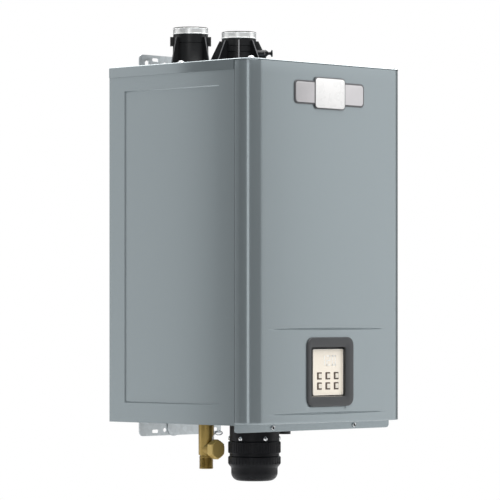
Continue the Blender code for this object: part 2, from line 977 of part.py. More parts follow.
piece(
    "test_port_plug",
    turned(
        [
            (0, port_end),
            (port_flange, port_end),
            (port_flange, port_end - port_flange_thickness),
            (port_neck, port_end - port_flange_thickness - port_neck / 2),
            (port_neck, port_end - port_flange_thickness - port_neck),
            (port_boss, port_start + port_neck),
            (port_boss, port_start + fit),
            (0, port_start + fit),
        ],
        small_facets,
    ),
    "black plastic",
    exhaust_mouth,
    (0, 0, port_lift),
    (0, math.pi / 2, port_angle),
)

intake_rings = (groove_lift,)
intake_mouth = frame("intake_axis", (intake_x, vent_y, lid_top), heater)
intake_collar = piece("intake_collar", collar_blank(intake_rings), "black plastic", intake_mouth)
for index in range(2):
    join(
        intake_collar,
        gusset_pair(intake_gusset_foot, intake_gusset_top, intake_gusset_height, math.pi * index / 2),
    )
clip_bar = block((-clip_out, -clip_width / 2, clip_low), (clip_out, clip_width / 2, clip_high))
clip_bar.rotation_euler = (0, 0, -math.pi / 4)
join(intake_collar, clip_bar)
cut(intake_collar, bore_cutter())

band_top = collar_height - band_drop
for name, mouth in (("exhaust_clamp_band", exhaust_mouth), ("intake_clamp_band", intake_mouth)):
    band_outer = collar_mouth
    band_inner = collar_mouth - band_thickness
    profile = [
        (band_inner, band_top),
        (band_outer, band_top),
        (band_outer, band_top - band_height),
        (band_inner, band_top - band_height),
    ]
    piece(name, turned(profile, large_facets, ring=True), "stainless", mouth)

# Heat exchangers: the condensing one below on its feet, the main one on it, the burner head on top
exchanger_x = 0.0325
exchanger_half = 0.105
exchanger_front_depth = 0.060
duct_outer = 0.0310
duct_wall = 0.0015
duct_clear = 0.0075
second_rear_depth = 0.285
second_low = 0.190
second_high = 0.298
main_high = 0.478
head_shoulder = 0.557
head_high = 0.575
head_inset = 0.018
foot_width = 0.030
foot_height = 0.020
fin_band = 0.006
fin_band_out = 0.004
left_x = exchanger_x - exchanger_half
right_x = exchanger_x + exchanger_half
exchanger_front = front_y + exchanger_front_depth
main_rear = vent_y - duct_outer - duct_clear
second_rear = front_y + second_rear_depth
second = piece(
    "secondary_heat_exchanger",
    block((left_x, exchanger_front, second_low), (right_x, second_rear, second_high)),
    "stainless",
    heater,
)
for foot_x in (left_x, right_x - foot_width):
    join(
        second,
        block(
            (foot_x, second_rear - foot_height, second_low),
            (foot_x + foot_width, inner_back, second_low + foot_height),
        ),
    )
second_bore_depth = 0.040
duct_inner = duct_outer - duct_wall
cut(second, standing(duct_inner, second_high - second_bore_depth, second_high + overrun, exhaust_x, vent_y))
main_low = second_high + fit
main = piece(
    "primary_heat_exchanger",
    block((left_x, exchanger_front, main_low), (right_x, main_rear, main_high)),
    "copper",
    heater,
)
band_count = 3
for index in range(band_count):
    band_z = main_low + (main_high - main_low) * (index + 1) / (band_count + 1)
    join(
        main,
        block(
            (left_x - fin_band_out, exchanger_front - fin_band_out, band_z - fin_band / 2),
            (right_x + fin_band_out, main_rear + fin_band_out, band_z + fin_band / 2),
        ),
    )
head_low = main_high + fit
burner = piece(
    "burner_head",
    block((left_x, exchanger_front, head_low), (right_x, main_rear, head_shoulder)),
    "cast aluminium",
    heater,
)
join(
    burner,
    tapered_block(
        (left_x, exchanger_front, head_shoulder - fit), (right_x, main_rear, head_high), 2, head_inset
    ),
)

# Exhaust duct: a thin tube from the condensing exchanger up to the collar's spigot
duct_low = second_high + fit
duct_high = lid_top - spigot_drop - fit
piece(
    "exhaust_duct",
    turned(
        [
            (duct_inner, duct_high),
            (duct_outer, duct_high),
            (duct_outer, duct_low),
            (duct_inner, duct_low),
        ],
        facets,
        ring=True,
    ),
    "white plastic",
    heater,
    (exhaust_x, vent_y, 0),
)

# Fan: scroll housing with an impeller on a vertical shaft, the motor below, the intake duct above
fan_x = -0.137
fan_depth = 0.136
fan_y = front_y + fan_depth
fan_radius = 0.062
fan_low = 0.506
fan_height = 0.048
fan_wall = 0.003
fan_eye = 0.024
fan_port_width = 0.036
fan_high = fan_low + fan_height
port_front = fan_y - fan_radius
housing = piece(
    "fan_housing",
    standing(fan_radius, fan_low, fan_high, fan_x, fan_y, facets),
    "cast aluminium",
    heater,
)
port_reach = left_x - fit
join(
    housing,
    block(
        (fan_x, port_front + fit, fan_low + fit),
        (port_reach, port_front + fan_port_width, fan_high - fit),
    ),
)
shaft_radius = 0.004
cut(
    housing,
    block(
        (fan_x, port_front + fan_wall, fan_low + fan_wall),
        (port_reach + overrun, port_front + fan_port_width - fan_wall, fan_high - fan_wall),
    ),
    standing(fan_radius - fan_wall, fan_low + fan_wall, fan_high - fan_wall, fan_x, fan_y, facets),
    standing(fan_eye, fan_high - fan_wall - overrun, fan_high + overrun, fan_x, fan_y, facets),
    standing(
        shaft_radius + running, fan_low - overrun, fan_low + fan_wall + overrun, fan_x, fan_y, small_facets
    ),
)
motor_radius = 0.036
motor_height = 0.044
motor_high = fan_low - fit
motor_low = motor_high - motor_height
bearing_depth = 0.014
motor = piece(
    "fan_motor",
    standing(motor_radius, motor_low, motor_high, fan_x, fan_y, facets),
    "black plastic",
    heater,
)
bearing = standing(
    shaft_radius + fit, motor_high - bearing_depth, motor_high + overrun, fan_x, fan_y, small_facets
)
cut(motor, bearing)
wheel_radius = fan_radius - fan_wall - running - fan_wall
wheel_low = fan_low + fan_wall + running
wheel_high = fan_high - fan_wall - running
blade = 0.0016
hub_radius = 0.009
fan_axis = frame("fan_axis", (fan_x, fan_y, 0), heater)
wheel = standing(wheel_radius, wheel_low, wheel_low + blade)
impeller = piece("fan_impeller", wheel, "cast aluminium", fan_axis)
join(
    impeller,
    *crossed_plates(6, wheel_radius - blade, blade, wheel_low + blade / 2, wheel_high),
    standing(hub_radius, wheel_low + blade / 2, wheel_high - running, sides=small_facets),
    standing(shaft_radius, motor_high - bearing_depth + fit, wheel_low + blade / 2, sides=small_facets),
)
duct_radius = 0.023
duct_bend = 0.050
duct_turn_high = lid_top - spigot_drop - duct_bend
duct_turn_low = fan_high + duct_bend
piece(
    "intake_duct",
    pipe(
        [
            (intake_x, vent_y, lid_top - spigot_drop - fit),
            (intake_x, vent_y, duct_turn_high),
            (fan_x, fan_y, duct_turn_low),
            (fan_x, fan_y, fan_high + fit),
        ],
        collar_spigot - fan_wall,
        duct_bend / 2,
    ),
    "black plastic",
    heater,
)

# Igniter: an electrode on the burner head's front
igniter_height = 0.012
igniter_radius = 0.006
igniter_length = 0.024
piece(
    "igniter",
    turned(
        [
            (0, igniter_length),
            (igniter_radius / 2, igniter_length),
            (igniter_radius / 2, igniter_length / 2),
            (igniter_radius, igniter_length / 2),
            (igniter_radius, 0),
            (0, 0),
        ],
        small_facets,
    ),
    "white plastic",
    heater,
    (exchanger_x, exchanger_front - fit, main_high - igniter_height),
    (math.pi / 2, 0, 0),
)

# Cold water: brass inlet tee with strainer cap and wire clip, flow sensor with its turbine, and the pipe up
inlet_axis = frame("inlet_axis", (inlet_x, water_y, 0), heater)
tee_radius = inlet_hole - fit
tee_top = 0.004
tee_end = -0.092
tee_shoulder = -0.065
tee_thread = 0.0138
tee_waist = 0.0128
tee_bore = 0.0100
tee_bore_depth = 0.050
branch_z = -0.0533
branch_radius = 0.0148
branch_reach = 0.0195
hex_flats = 0.034
hex_depth = 0.0145
hex_chamfer = 0.0015
cap_bore = 0.0085
tee = piece(
    "cold_inlet_tee",
    turned(
        [
            (0, tee_top),
            (tee_radius, tee_top),
            (tee_radius, tee_shoulder + fit),
            (tee_waist, tee_shoulder - fit),
            (tee_waist, tee_shoulder - tee_top),
            (tee_thread, tee_shoulder - tee_top - fit),
            (tee_thread, tee_end),
            (0, tee_end),
        ]
    ),
    "brass",
    inlet_axis,
)
join(tee, drum(branch_radius, branch_reach, (0, -branch_reach / 2, branch_z), "Y"))
cut(
    tee,
    standing(tee_bore, tee_end - overrun, tee_end + tee_bore_depth),
    standing(tee_bore, branch_z, tee_top + overrun, sides=facets),
    drum(cap_bore, branch_reach + overrun, (0, -(branch_reach + overrun) / 2, branch_z), "Y"),
)
hex_radius = hex_flats / math.sqrt(3)
cap_axis = frame("strainer_cap_axis", (0, -branch_reach - fit, branch_z), inlet_axis)
spigot_reach = 0.012
cap = piece(
    "inlet_strainer_cap",
    drum(hex_radius, hex_depth, (0, -hex_depth / 2, 0), "Y", 6),
    "brass",
    cap_axis,
)
chamfer = cap.modifiers.new("chamfer", "BEVEL")
chamfer.width = hex_chamfer
chamfer.segments = 1
chamfer.limit_method = "ANGLE"
chamfer.angle_limit = math.radians(80)
spigot_length = spigot_reach + hex_depth / 2
join(cap, drum(cap_bore - fit, spigot_length, (0, spigot_reach - spigot_length / 2, 0), "Y", small_facets))

clip_wire = 0.0011
clip_loop = 0.0072
clip_y = -0.030
clip_z = -0.0215
clip_foot_y = -0.0176
loop_points = [
    (clip_loop * math.sin(angle), clip_y - clip_loop * math.cos(angle), clip_z)
    for angle in [math.radians(-165 + 330 * step / 12) for step in range(13)]
]
clip_foot = (0, clip_foot_y, branch_z + branch_radius + clip_wire)
clip_bend = (clip_loop / 4, clip_y + clip_loop, clip_z)
clip_curve = pipe([*loop_points, clip_bend, clip_foot], clip_wire, clip_wire, 1)
piece("cap_clip", clip_curve, "bright screw", inlet_axis)

sensor_radius = 0.020
sensor_low = tee_top + fit
sensor_high = 0.078
sensor_bore = 0.0125
bar_half = 0.003
bar_low = 0.016
bar_high = 0.022
pin_radius = 0.0015
sensor = piece("flow_sensor", standing(sensor_radius, sensor_low, sensor_high), "black plastic", inlet_axis)
cut(sensor, standing(sensor_bore, sensor_low - overrun, sensor_high + overrun))
join(sensor, block((-sensor_bore - fit, -bar_half, bar_low), (sensor_bore + fit, bar_half, bar_high)))
pin_socket = bar_low + bar_half
cut(sensor, standing(pin_radius + fit, pin_socket, bar_high + overrun, sides=small_facets))
rotor_low = bar_high + fit
rotor_high = 0.046
rotor_hub = 0.004
rotor_body = standing(rotor_hub, rotor_low, rotor_high, sides=small_facets)
rotor = piece("flow_turbine", rotor_body, "white plastic", inlet_axis)
join(
    rotor,
    *crossed_plates(3, sensor_bore - running, blade, rotor_low + running, rotor_high - running),
    standing(pin_radius, pin_socket + fit, rotor_low + running, sides=small_facets),
)
water_pipe = 0.009
water_bend = 0.020
cold_level = 0.245
piece(
    "cold_pipe",
    pipe(
        [
            (inlet_x, water_y, sensor_high + fit),
            (inlet_x, water_y, cold_level),
            (left_x - fit, water_y, cold_level),
        ],
        sensor_bore,
        water_bend,
    ),
    "copper",
    heater,
)

# Hot water: from the main exchanger down to the brass outlet
hot_top = 0.004
hot_end = -0.045
hot_shoulder = -0.018
hot_thread = 0.0138
hot_bore_depth = 0.030
hot_out = 0.022
hot_level = 0.322
hot_run_depth = 0.100
hot_run_y = front_y + hot_run_depth
hot_fitting = piece(
    "hot_outlet_fitting",
    turned(
        [
            (0, hot_top),
            (hot_hole - fit, hot_top),
            (hot_hole - fit, hot_shoulder),
            (hot_thread, hot_shoulder - fit),
            (hot_thread, hot_end),
            (0, hot_end),
        ]
    ),
    "brass",
    heater,
    (hot_x, water_y, 0),
)
cut(hot_fitting, standing(tee_bore, hot_end - overrun, hot_end + hot_bore_depth, hot_x, water_y))
hot_clear = 0.055
piece(
    "hot_pipe",
    pipe(
        [
            (hot_x, water_y, hot_top + fit),
            (hot_x, water_y, second_low - hot_clear),
            (left_x - hot_out, hot_run_y, second_low - hot_clear),
            (left_x - hot_out, hot_run_y, hot_level),
            (left_x - fit, hot_run_y, hot_level),
        ],
        water_pipe,
        water_pipe,
    ),
    "copper",
    heater,
)

# Gas: inlet pipe through the floor, the valve on it, and the pipe to the fan's port
valve_low = 0.050
valve_high = 0.118
valve_half = 0.026
gas_radius = gas_hole - fit
gas_end = -0.040
gas_bore_depth = 0.030
gas_pipe_radius = 0.007
gas_arch_rise = 0.035
solenoid_radius = 0.017
gas_tube = standing(gas_radius, gas_end, valve_low - fit, gas_x, water_y)
gas_inlet = piece("gas_inlet", gas_tube, "brass", heater)
cut(gas_inlet, standing(tee_bore, gas_end - overrun, gas_end + gas_bore_depth, gas_x, water_y))
valve = piece(
    "gas_valve",
    block(
        (gas_x - valve_half, water_y - valve_half, valve_low),
        (gas_x + valve_half, water_y + valve_half, valve_high),
    ),
    "cast aluminium",
    heater,
)
valve_middle = (valve_low + valve_high) / 2
join(valve, drum(solenoid_radius, valve_half, (gas_x, water_y - valve_half, valve_middle), "Y", small_facets))
gas_rise_x = right_x + hot_out
gas_drop_x = exchanger_x + exchanger_half / 2
gas_drop_y = (exchanger_front + main_rear) / 2
gas_arch = head_high + gas_arch_rise
piece(
    "gas_pipe",
    pipe(
        [
            (gas_x + valve_half + fit, water_y, valve_middle),
            (gas_rise_x, water_y, valve_middle),
            (gas_rise_x, water_y, gas_arch),
            (gas_drop_x, gas_drop_y, gas_arch),
            (gas_drop_x, gas_drop_y, head_high + fit),
        ],
        gas_pipe_radius,
        water_bend / 2,
    ),
    "galvanised",
    heater,
)

# Condensate trap over its black spout, and the cable gland
trap_high = 0.068
trap_half_x = 0.022
trap_half_y = 0.030
spout_end = -0.030
spout_bore = 0.0075
spout_nut = 0.0145
trap = piece(
    "condensate_trap",
    block(
        (condensate_x - trap_half_x, water_y - trap_half_y, floor_top + fit),
        (condensate_x + trap_half_x, water_y + trap_half_y, trap_high),
    ),
    "black plastic",
    heater,
)
join(
    trap,
    standing(condensate_hole - fit, spout_end, floor_top + overrun, condensate_x, water_y),
    standing(spout_nut, spout_end, -tab_drop, condensate_x, water_y),
)
spout_hollow = standing(
    spout_bore, spout_end - overrun, spout_end + gas_bore_depth, condensate_x, water_y, small_facets
)
cut(trap, spout_hollow)
gland_end = -0.018
gland_top = 0.012
gland_bore = 0.004
gland_flange = 0.0122
gland = piece(
    "cable_gland",
    standing(gland_hole - fit, gland_end, gland_top, gland_x, water_y, small_facets),
    "black plastic",
    heater,
)
join(gland, standing(gland_flange, gland_end, -skirt - fit, gland_x, water_y, 6))
cut(gland, standing(gland_bore, gland_end - overrun, gland_top + overrun, gland_x, water_y, small_facets))

# Scale-filter cartridge: head through the floor, lock ring with a quarter turn, canister, and bright screws
cartridge = frame("cartridge_axis", (cartridge_x, cartridge_y, 0), heater)
head_radius = 0.0485
head_end = -0.0362
ring_low = -0.0595
band_low = -0.0828
band_high = -0.0655
spool_radius = 0.0447
cup_radius = 0.0395
cup_wall = 0.004
spool_top = -0.012
shoulder_z = -0.0885
bowl_radius = 0.0455
bowl_corner = 0.016
neck_top = 0.014
head_screw_z = -0.0305
head_screw_angles = (-170, -110, -50)
head = piece(
    "cartridge_head",
    turned(
        [
            (0, neck_top),
            (neck_radius, neck_top),
            (neck_radius, -skirt - fit),
            (head_radius, -skirt - fit),
            (head_radius, head_end),
            (spool_radius + fit, head_end),
            (spool_radius + fit, spool_top + fit),
            (0, spool_top + fit),
        ],
        large_facets,
    ),
    "black plastic",
    cartridge,
)
ring_top = head_end - fit
ring_edge = 0.0015
ring = piece(
    "cartridge_lock_ring",
    turned(
        [
            (spool_radius + fit, ring_top),
            (cartridge_radius - ring_edge, ring_top),
            (cartridge_radius, ring_top - ring_edge),
            (cartridge_radius, ring_low + ring_edge),
            (cartridge_radius - ring_edge, ring_low),
            (spool_radius + fit, ring_low),
        ],
        large_facets,
        ring=True,
    ),
    "black plastic",
    cartridge,
)
canister_top = ring_low - fit
cup_floor = -cartridge_drop + cup_wall
bowl_arc = arc(bowl_radius - bowl_corner, -cartridge_drop + bowl_corner, bowl_corner, 0, -90)
canister = piece(
    "cartridge_canister",
    turned(
        [
            (0, cup_floor),
            (cup_radius - bowl_corner, cup_floor),
            (cup_radius, -cartridge_drop + bowl_corner),
            (cup_radius, spool_top),
            (spool_radius, spool_top),
            (spool_radius, canister_top),
            (head_radius, canister_top),
            (head_radius, band_high),
            (cartridge_radius, band_high - ring_edge),
            (cartridge_radius - ring_edge, band_low),
            (bowl_radius, shoulder_z),
            *bowl_arc,
            (0, -cartridge_drop),
        ],
        large_facets,
    ),
    "black plastic",
    cartridge,
)
button_radius = 0.0044
button_height = 0.0022
for name, angle in zip(("left", "middle", "right"), head_screw_angles):
    turn = math.radians(angle)
    piece(
        "cartridge_screw_" + name,
        turned(
            [
                (0, button_height),
                (button_radius / 2, button_height),
                (button_radius, button_height / 2),
                (button_radius, 0),
                (0, 0),
            ],
            small_facets,
        ),
        "bright screw",
        cartridge,
        ((head_radius + fit) * math.cos(turn), (head_radius + fit) * math.sin(turn), head_screw_z),
        (0, math.pi / 2, turn),
    )

# Controls: a tray on the right side panel with the main board in it
tray_front_depth = 0.075
tray_rear_depth = 0.270
tray_low = 0.290
tray_high = 0.590
tray_thickness = 0.030
tray_wall = 0.002
stand_off = 0.006
tray_x = half_width - recess_sink - sheet - fit
tray_y = (front_y + tray_front_depth, front_y + tray_rear_depth)
tray = piece(
    "control_box",
    block((tray_x - tray_thickness, tray_y[0], tray_low), (tray_x, tray_y[1], tray_high)),
    "galvanised",
    heater,
)
cut(
    tray,
    block(
        (tray_x - tray_thickness - overrun, tray_y[0] + tray_wall, tray_low + tray_wall),
        (tray_x - tray_wall, tray_y[1] - tray_wall, tray_high - tray_wall),
    ),
)
board_x = tray_x - tray_wall - stand_off
piece(
    "control_board",
    block(
        (board_x - board_thickness, tray_y[0] + tray_wall + fit, tray_low + tray_wall + fit),
        (board_x, tray_y[1] - tray_wall - fit, tray_high - tray_wall - fit),
    ),
    "circuit board",
    heater,
)
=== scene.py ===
"""A wall-hung tankless water heater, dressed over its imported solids. Metres, +Z up, the front faces -Y.

The origin is the middle of the upper wall bracket's back face; the cover's lower edge is 0.71825 below it.
"""
import math

import bmesh
import bpy
from mathutils import Matrix, Vector


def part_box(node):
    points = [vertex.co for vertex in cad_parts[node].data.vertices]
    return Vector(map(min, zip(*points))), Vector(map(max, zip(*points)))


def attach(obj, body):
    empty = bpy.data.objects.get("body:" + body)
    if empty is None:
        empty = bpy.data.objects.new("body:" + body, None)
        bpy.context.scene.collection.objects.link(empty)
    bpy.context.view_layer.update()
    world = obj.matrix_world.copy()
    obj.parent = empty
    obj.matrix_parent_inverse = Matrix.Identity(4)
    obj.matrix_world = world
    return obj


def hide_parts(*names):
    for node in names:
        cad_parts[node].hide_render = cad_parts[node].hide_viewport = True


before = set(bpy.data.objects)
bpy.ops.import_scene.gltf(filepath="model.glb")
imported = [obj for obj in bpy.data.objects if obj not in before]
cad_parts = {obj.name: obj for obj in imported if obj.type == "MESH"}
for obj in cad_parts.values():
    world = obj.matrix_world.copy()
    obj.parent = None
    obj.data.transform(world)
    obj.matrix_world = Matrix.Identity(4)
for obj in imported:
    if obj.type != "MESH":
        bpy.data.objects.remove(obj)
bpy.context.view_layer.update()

# Camera: level, on the left of the front, far off with a long lens; its shift lifts the heater in the picture
camera = bpy.data.cameras.new("camera")
camera.lens = 229.03
camera.sensor_width = 36
camera.shift_y = 0.12
viewer = bpy.data.objects.new("camera", camera)
viewer.location = (-4.5832, -4.6120, -0.49825)
viewer.rotation_euler = (math.radians(90), 0, math.radians(-46))
bpy.context.scene.collection.objects.link(viewer)
bpy.context.scene.camera = viewer
bpy.context.scene.view_settings.view_transform = "Standard"

# Room: white all round for the camera, dim for the metal to mirror, and a plain pale floor well below the
# heater
world = bpy.data.worlds.new("studio")
world.use_nodes = True
bpy.context.scene.world = world
sky_nodes = world.node_tree.nodes
sky_links = world.node_tree.links
room = sky_nodes["Background"]
room.inputs["Color"].default_value = (0.95, 0.98, 1.0, 1)
room.inputs["Strength"].default_value = 0.20
paper = sky_nodes.new("ShaderNodeBackground")
paper.inputs["Color"].default_value = (1, 1, 1, 1)
paper.inputs["Strength"].default_value = 1.0
seen = sky_nodes.new("ShaderNodeLightPath")
choice = sky_nodes.new("ShaderNodeMixShader")
sky_links.new(seen.outputs["Is Camera Ray"], choice.inputs[0])
sky_links.new(room.outputs[0], choice.inputs[1])
sky_links.new(paper.outputs[0], choice.inputs[2])
sky_links.new(choice.outputs[0], sky_nodes["World Output"].inputs["Surface"])


def finish(name, colour, roughness, metallic=0.0, grain=900.0, bump=0.06, tint=0.05, spread=0.05, stretch=(1, 1, 1),
           cells=False, coat=0.0, shine=0.5):
    """A finish with its own fine grain: the colour, the gloss and the surface vary from place to place."""
    material = bpy.data.materials.new(name)
    material.use_nodes = True
    nodes = material.node_tree.nodes
    links = material.node_tree.links
    surface = nodes["Principled BSDF"]
    surface.inputs["Metallic"].default_value = metallic
    surface.inputs["Specular IOR Level"].default_value = shine
    surface.inputs["Coat Weight"].default_value = coat
    surface.inputs["Coat Roughness"].default_value = 0.12
    where = nodes.new("ShaderNodeTexCoord")
    scaled = nodes.new("ShaderNodeMapping")
    scaled.inputs["Scale"].default_value = stretch
    links.new(where.outputs["Object"], scaled.inputs["Vector"])
    cloud = nodes.new("ShaderNodeTexVoronoi" if cells else "ShaderNodeTexNoise")
    cloud.inputs["Scale"].default_value = grain / 8
    links.new(scaled.outputs[0], cloud.inputs["Vector"])
    shade = nodes.new("ShaderNodeMix")
    shade.data_type = "RGBA"
    shade.inputs["A"].default_value = (*[c * (1 - tint) for c in colour], 1)
    shade.inputs["B"].default_value = (*[c * (1 + tint) for c in colour], 1)
    if cells:
        grey = nodes.new("ShaderNodeRGBToBW")
        links.new(cloud.outputs["Color"], grey.inputs[0])
        source = grey.outputs[0]
    else:
        source = cloud.outputs[0]
    links.new(source, shade.inputs["Factor"])
    links.new(shade.outputs["Result"], surface.inputs["Base Color"])
    gloss = nodes.new("ShaderNodeMapRange")
    gloss.inputs["To Min"].default_value = max(roughness - spread, 0.02)
    gloss.inputs["To Max"].default_value = roughness + spread
    links.new(source, gloss.inputs["Value"])
    links.new(gloss.outputs[0], surface.inputs["Roughness"])
    fine = nodes.new("ShaderNodeTexNoise")
    fine.inputs["Scale"].default_value = grain
    fine.inputs["Detail"].default_value = 3
    links.new(scaled.outputs[0], fine.inputs["Vector"])
    relief = nodes.new("ShaderNodeBump")
    relief.inputs["Strength"].default_value = bump
    relief.inputs["Distance"].default_value = 0.0004
    links.new(fine.outputs[0], relief.inputs["Height"])
    links.new(relief.outputs[0], surface.inputs["Normal"])
    return material


pale_floor = finish("floor_paper", (0.86, 0.86, 0.86), 0.7, grain=60, tint=0.01)
floor_z = -1.05
floor_bm = bmesh.new()
bmesh.ops.create_circle(
    floor_bm, cap_ends=True, segments=96, radius=2.2, matrix=Matrix.Translation((0, 0, floor_z))
)
floor_mesh = bpy.data.meshes.new("floor")
floor_bm.to_mesh(floor_mesh)
floor_bm.free()
floor_mesh.materials.append(pale_floor)
floor = bpy.data.objects.new("floor", floor_mesh)
bpy.context.scene.collection.objects.link(floor)


def softbox(name, heading, rise, distance, width, height, power, aim=(0, -0.2, -0.37)):
    """A soft rectangular light; its heading is in degrees from -X towards -Y."""
    light = bpy.data.lights.new(name, "AREA")
    light.shape = "RECTANGLE"
    light.size = width
    light.size_y = height
    light.energy = power
    lamp = bpy.data.objects.new(name, light)
    turn = math.radians(heading)
    away = Vector((-math.cos(turn), -math.sin(turn), 0)) * distance
    lamp.location = Vector(aim) + away + Vector((0, 0, rise))
    lamp.rotation_euler = (-(away + Vector((0, 0, rise)))).to_track_quat("-Z", "Y").to_euler()
    bpy.context.scene.collection.objects.link(lamp)


softbox("right_softbox", 143, 0.1, 2.0, 1.1, 2.6, 9.6)
softbox("left_softbox", 33, 0.1, 4.0, 0.95, 4.0, 18)
softbox("rear_softbox", -50, 0.1, 1.0, 0.64, 2.0, 3.4)
softbox("top_softbox", 75, 2.2, 1.3, 2.0, 2.0, 68)
softbox("lid_softbox", -135, 1.6, 0.9, 2.4, 2.4, 75)

# Case panels: folded sheet steel, powder coated a metallic grey; both sides are stamped with a large shallow
# recess
case_paint = finish(
    "grey_powder_coat", (
        0.285, 0.326, 0.342
    ), 0.21, metallic=0.62, grain=1400, bump=0.03, tint=0.015, spread=0.02
)


def coat_node(node, material):
    """A CAD solid that stays gets its finished surface."""
    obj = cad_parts[node]
    for slot in obj.material_slots:
        slot.material = material


for node in ("left_side_panel", "right_side_panel", "bottom_panel", "back_panel"):
    coat_node(node, case_paint)


def loft(bm, layers, place=Matrix(), ring=False, axis=None):
    """Skins (outline, height) layers of equal point counts; a ring joins last to first, else both ends close."""
    turn = place
    if axis == "Y":
        turn = place @ Matrix.Rotation(math.radians(90), 4, "X")
    if axis == "X":
        turn = place @ Matrix.Rotation(math.radians(90), 4, "Z") @ Matrix.Rotation(math.radians(90), 4, "X")
    loops = [[bm.verts.new(turn @ Vector((u, v, height))) for u, v in outline] for outline, height in layers]
    pairs = list(zip(loops, loops[1:]))
    if ring:
        pairs.append((loops[-1], loops[0]))
    count = len(loops[0])
    for lower, upper in pairs:
        for i in range(count):
            j = (i + 1) % count
            bm.faces.new((lower[i], lower[j], upper[j], upper[i]))
    if not ring:
        bm.faces.new(list(reversed(loops[0])))
        bm.faces.new(loops[-1])


def arc(u, v, radius, start, end, steps):
    turns = [math.radians(start + (end - start) * step / steps) for step in range(steps + 1)]
    return [(u + radius * math.cos(turn), v + radius * math.sin(turn)) for turn in turns]


def rounded(low_u, low_v, high_u, high_v, radius, steps=8):
    """A rectangle with round corners, anticlockwise from its lower left corner."""
    radius = max(radius, 0.00005)
    return (
        arc(low_u + radius, low_v + radius, radius, 180, 270, steps)
        + arc(high_u - radius, low_v + radius, radius, 270, 360, steps)
        + arc(high_u - radius, high_v - radius, radius, 0, 90, steps)
        + arc(low_u + radius, high_v - radius, radius, 90, 180, steps)
    )


def made(name, bm, material, body, nodes=(), angle=35, recalculate=True):
    """The finished piece from its bmesh, riding on its body, with the solids it stands for."""
    if recalculate:
        bmesh.ops.recalc_face_normals(bm, faces=bm.faces)
    mesh = bpy.data.meshes.new(name)
    bm.to_mesh(mesh)
    bm.free()
    mesh.materials.append(material)
    mesh.shade_smooth()
    mesh.set_sharp_from_angle(angle=math.radians(angle))
    obj = bpy.data.objects.new(name, mesh)
    bpy.context.scene.collection.objects.link(obj)
    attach(obj, body)
    if nodes:
        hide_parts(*nodes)
    return obj


# Lid: one sheet over case and cover with a hemmed edge all round, and a lip turned down outside each side
# panel
lid_half = 0.224
lid_front = -0.401
lid_rear = -0.012
lid_under = -0.01795
lid_top = -0.01675
lid_corner = 0.031
lip_low = -0.03675
lip_front = -0.3580
hem = 0.0007
hem_width = 0.007


def bowed(inset):
    """The plan of the lid, drawn in by an inset: round front corners and a square back."""
    half = lid_half - inset
    front = lid_front + inset
    radius = lid_corner - inset
    return [
        (-half, lid_rear - inset),
        *arc(-half + radius, front + radius, radius, 180, 270, 20),
        *arc(half - radius, front + radius, radius, 270, 360, 20),
        (half, lid_rear - inset),
    ]


lid = bmesh.new()
loft(
    lid,
    [
        (bowed(0.0003), lid_under + 0.0001),
        (bowed(0), lid_under + 0.0004),
        (bowed(0), lid_under + 0.0006),
        (bowed(0.0013), lid_top + hem - 0.0001),
        (bowed(0.0020), lid_top + hem),
        (bowed(hem_width), lid_top + hem),
        (bowed(hem_width + hem), lid_top),
    ],
)
for side in (-1, 1):
    lip = sorted((side * lid_half, side * (lid_half - 0.0012)))
    loft(
        lid,
        [
            (rounded(lip[0], lip_front, lip[1], lid_rear - 0.0003, 0.0004, 2), lip_low),
            (rounded(lip[0], lip_front, lip[1], lid_rear - 0.0003, 0.0004, 2), lid_under + 0.0006),
        ],
    )
made("lid", lid, case_paint, "case", ["top_panel"])

# Front cover: one sheet bowed round both front corners, with two long stamped creases across its face,
# flanges at its ends, a rolled rear edge, an opening for the controller, and a strip below for its two screws
cover_half = 0.2225
cover_front = -0.401
cover_rear = -0.359
cover_low = -0.71825
cover_high = -0.01825
cover_corner = 0.031
cover_sheet = 0.0012
crease_half = 0.1675
crease_levels = (cover_low + 0.0185, cover_low + 0.183)
crease_spread = 0.0026
crease_sink = 0.0023
opening_x = (-0.0588, 0.0490)
opening_z = (cover_low + 0.0449, cover_low + 0.1535)


def spread(low, high, step):
    count = max(1, round((high - low) / step))
    return [low + (high - low) * i / count for i in range(count)]


def cover_plan():
    """(point, outward direction) along the cover from its left rear edge round to its right rear edge."""
    radius = cover_corner
    left = []
    for y, inset in ((cover_rear, 0.0011), (cover_rear - 0.0003, 0.0005), (cover_rear - 0.0010, 0.0001),
                     (cover_rear - 0.0016, 0), (cover_rear - 0.0022, 0)):
        left.append(((-cover_half + inset, y), (-1, 0)))
    for step in range(25):
        turn = math.radians(90 * step / 24)
        out = (-math.cos(turn), -math.sin(turn))
        middle = (-cover_half + radius, cover_front + radius)
        left.append(((middle[0] + radius * out[0], middle[1] + radius * out[1]), out))
    straight = spread(-cover_half + radius, opening_x[0], 0.006)[1:] + spread(*opening_x, 0.006)
    straight += spread(opening_x[1], cover_half - radius, 0.006)
    right = [((-x, y), (-ox, oy)) for (x, y), (ox, oy) in reversed(left)]
    return left + [((x, cover_front), (0, -1)) for x in straight] + right


def cover_levels():
    levels = [(cover_low, 0.0012), (cover_low + 0.0004, 0.0003), (cover_low + 0.0012, 0)]
    marks = [cover_low + 0.006]
    for level in crease_levels:
        marks += [level + crease_spread * share / 6 for share in range(-8, 9)]
    marks += list(opening_z)
    marks += spread(cover_low + 0.05, cover_low + 0.17, 0.012) + spread(
        cover_low + 0.195, cover_high - 0.004, 0.02
    )
    marks = sorted(marks)
    kept = [marks[0]]
    for mark in marks[1:]:
        if mark - kept[-1] > 0.0004:
            kept.append(mark)
    levels += [(mark, 0) for mark in kept]
    return levels + [(cover_high - 0.0012, 0), (cover_high - 0.0004, 0.0003), (cover_high, 0.0012)]


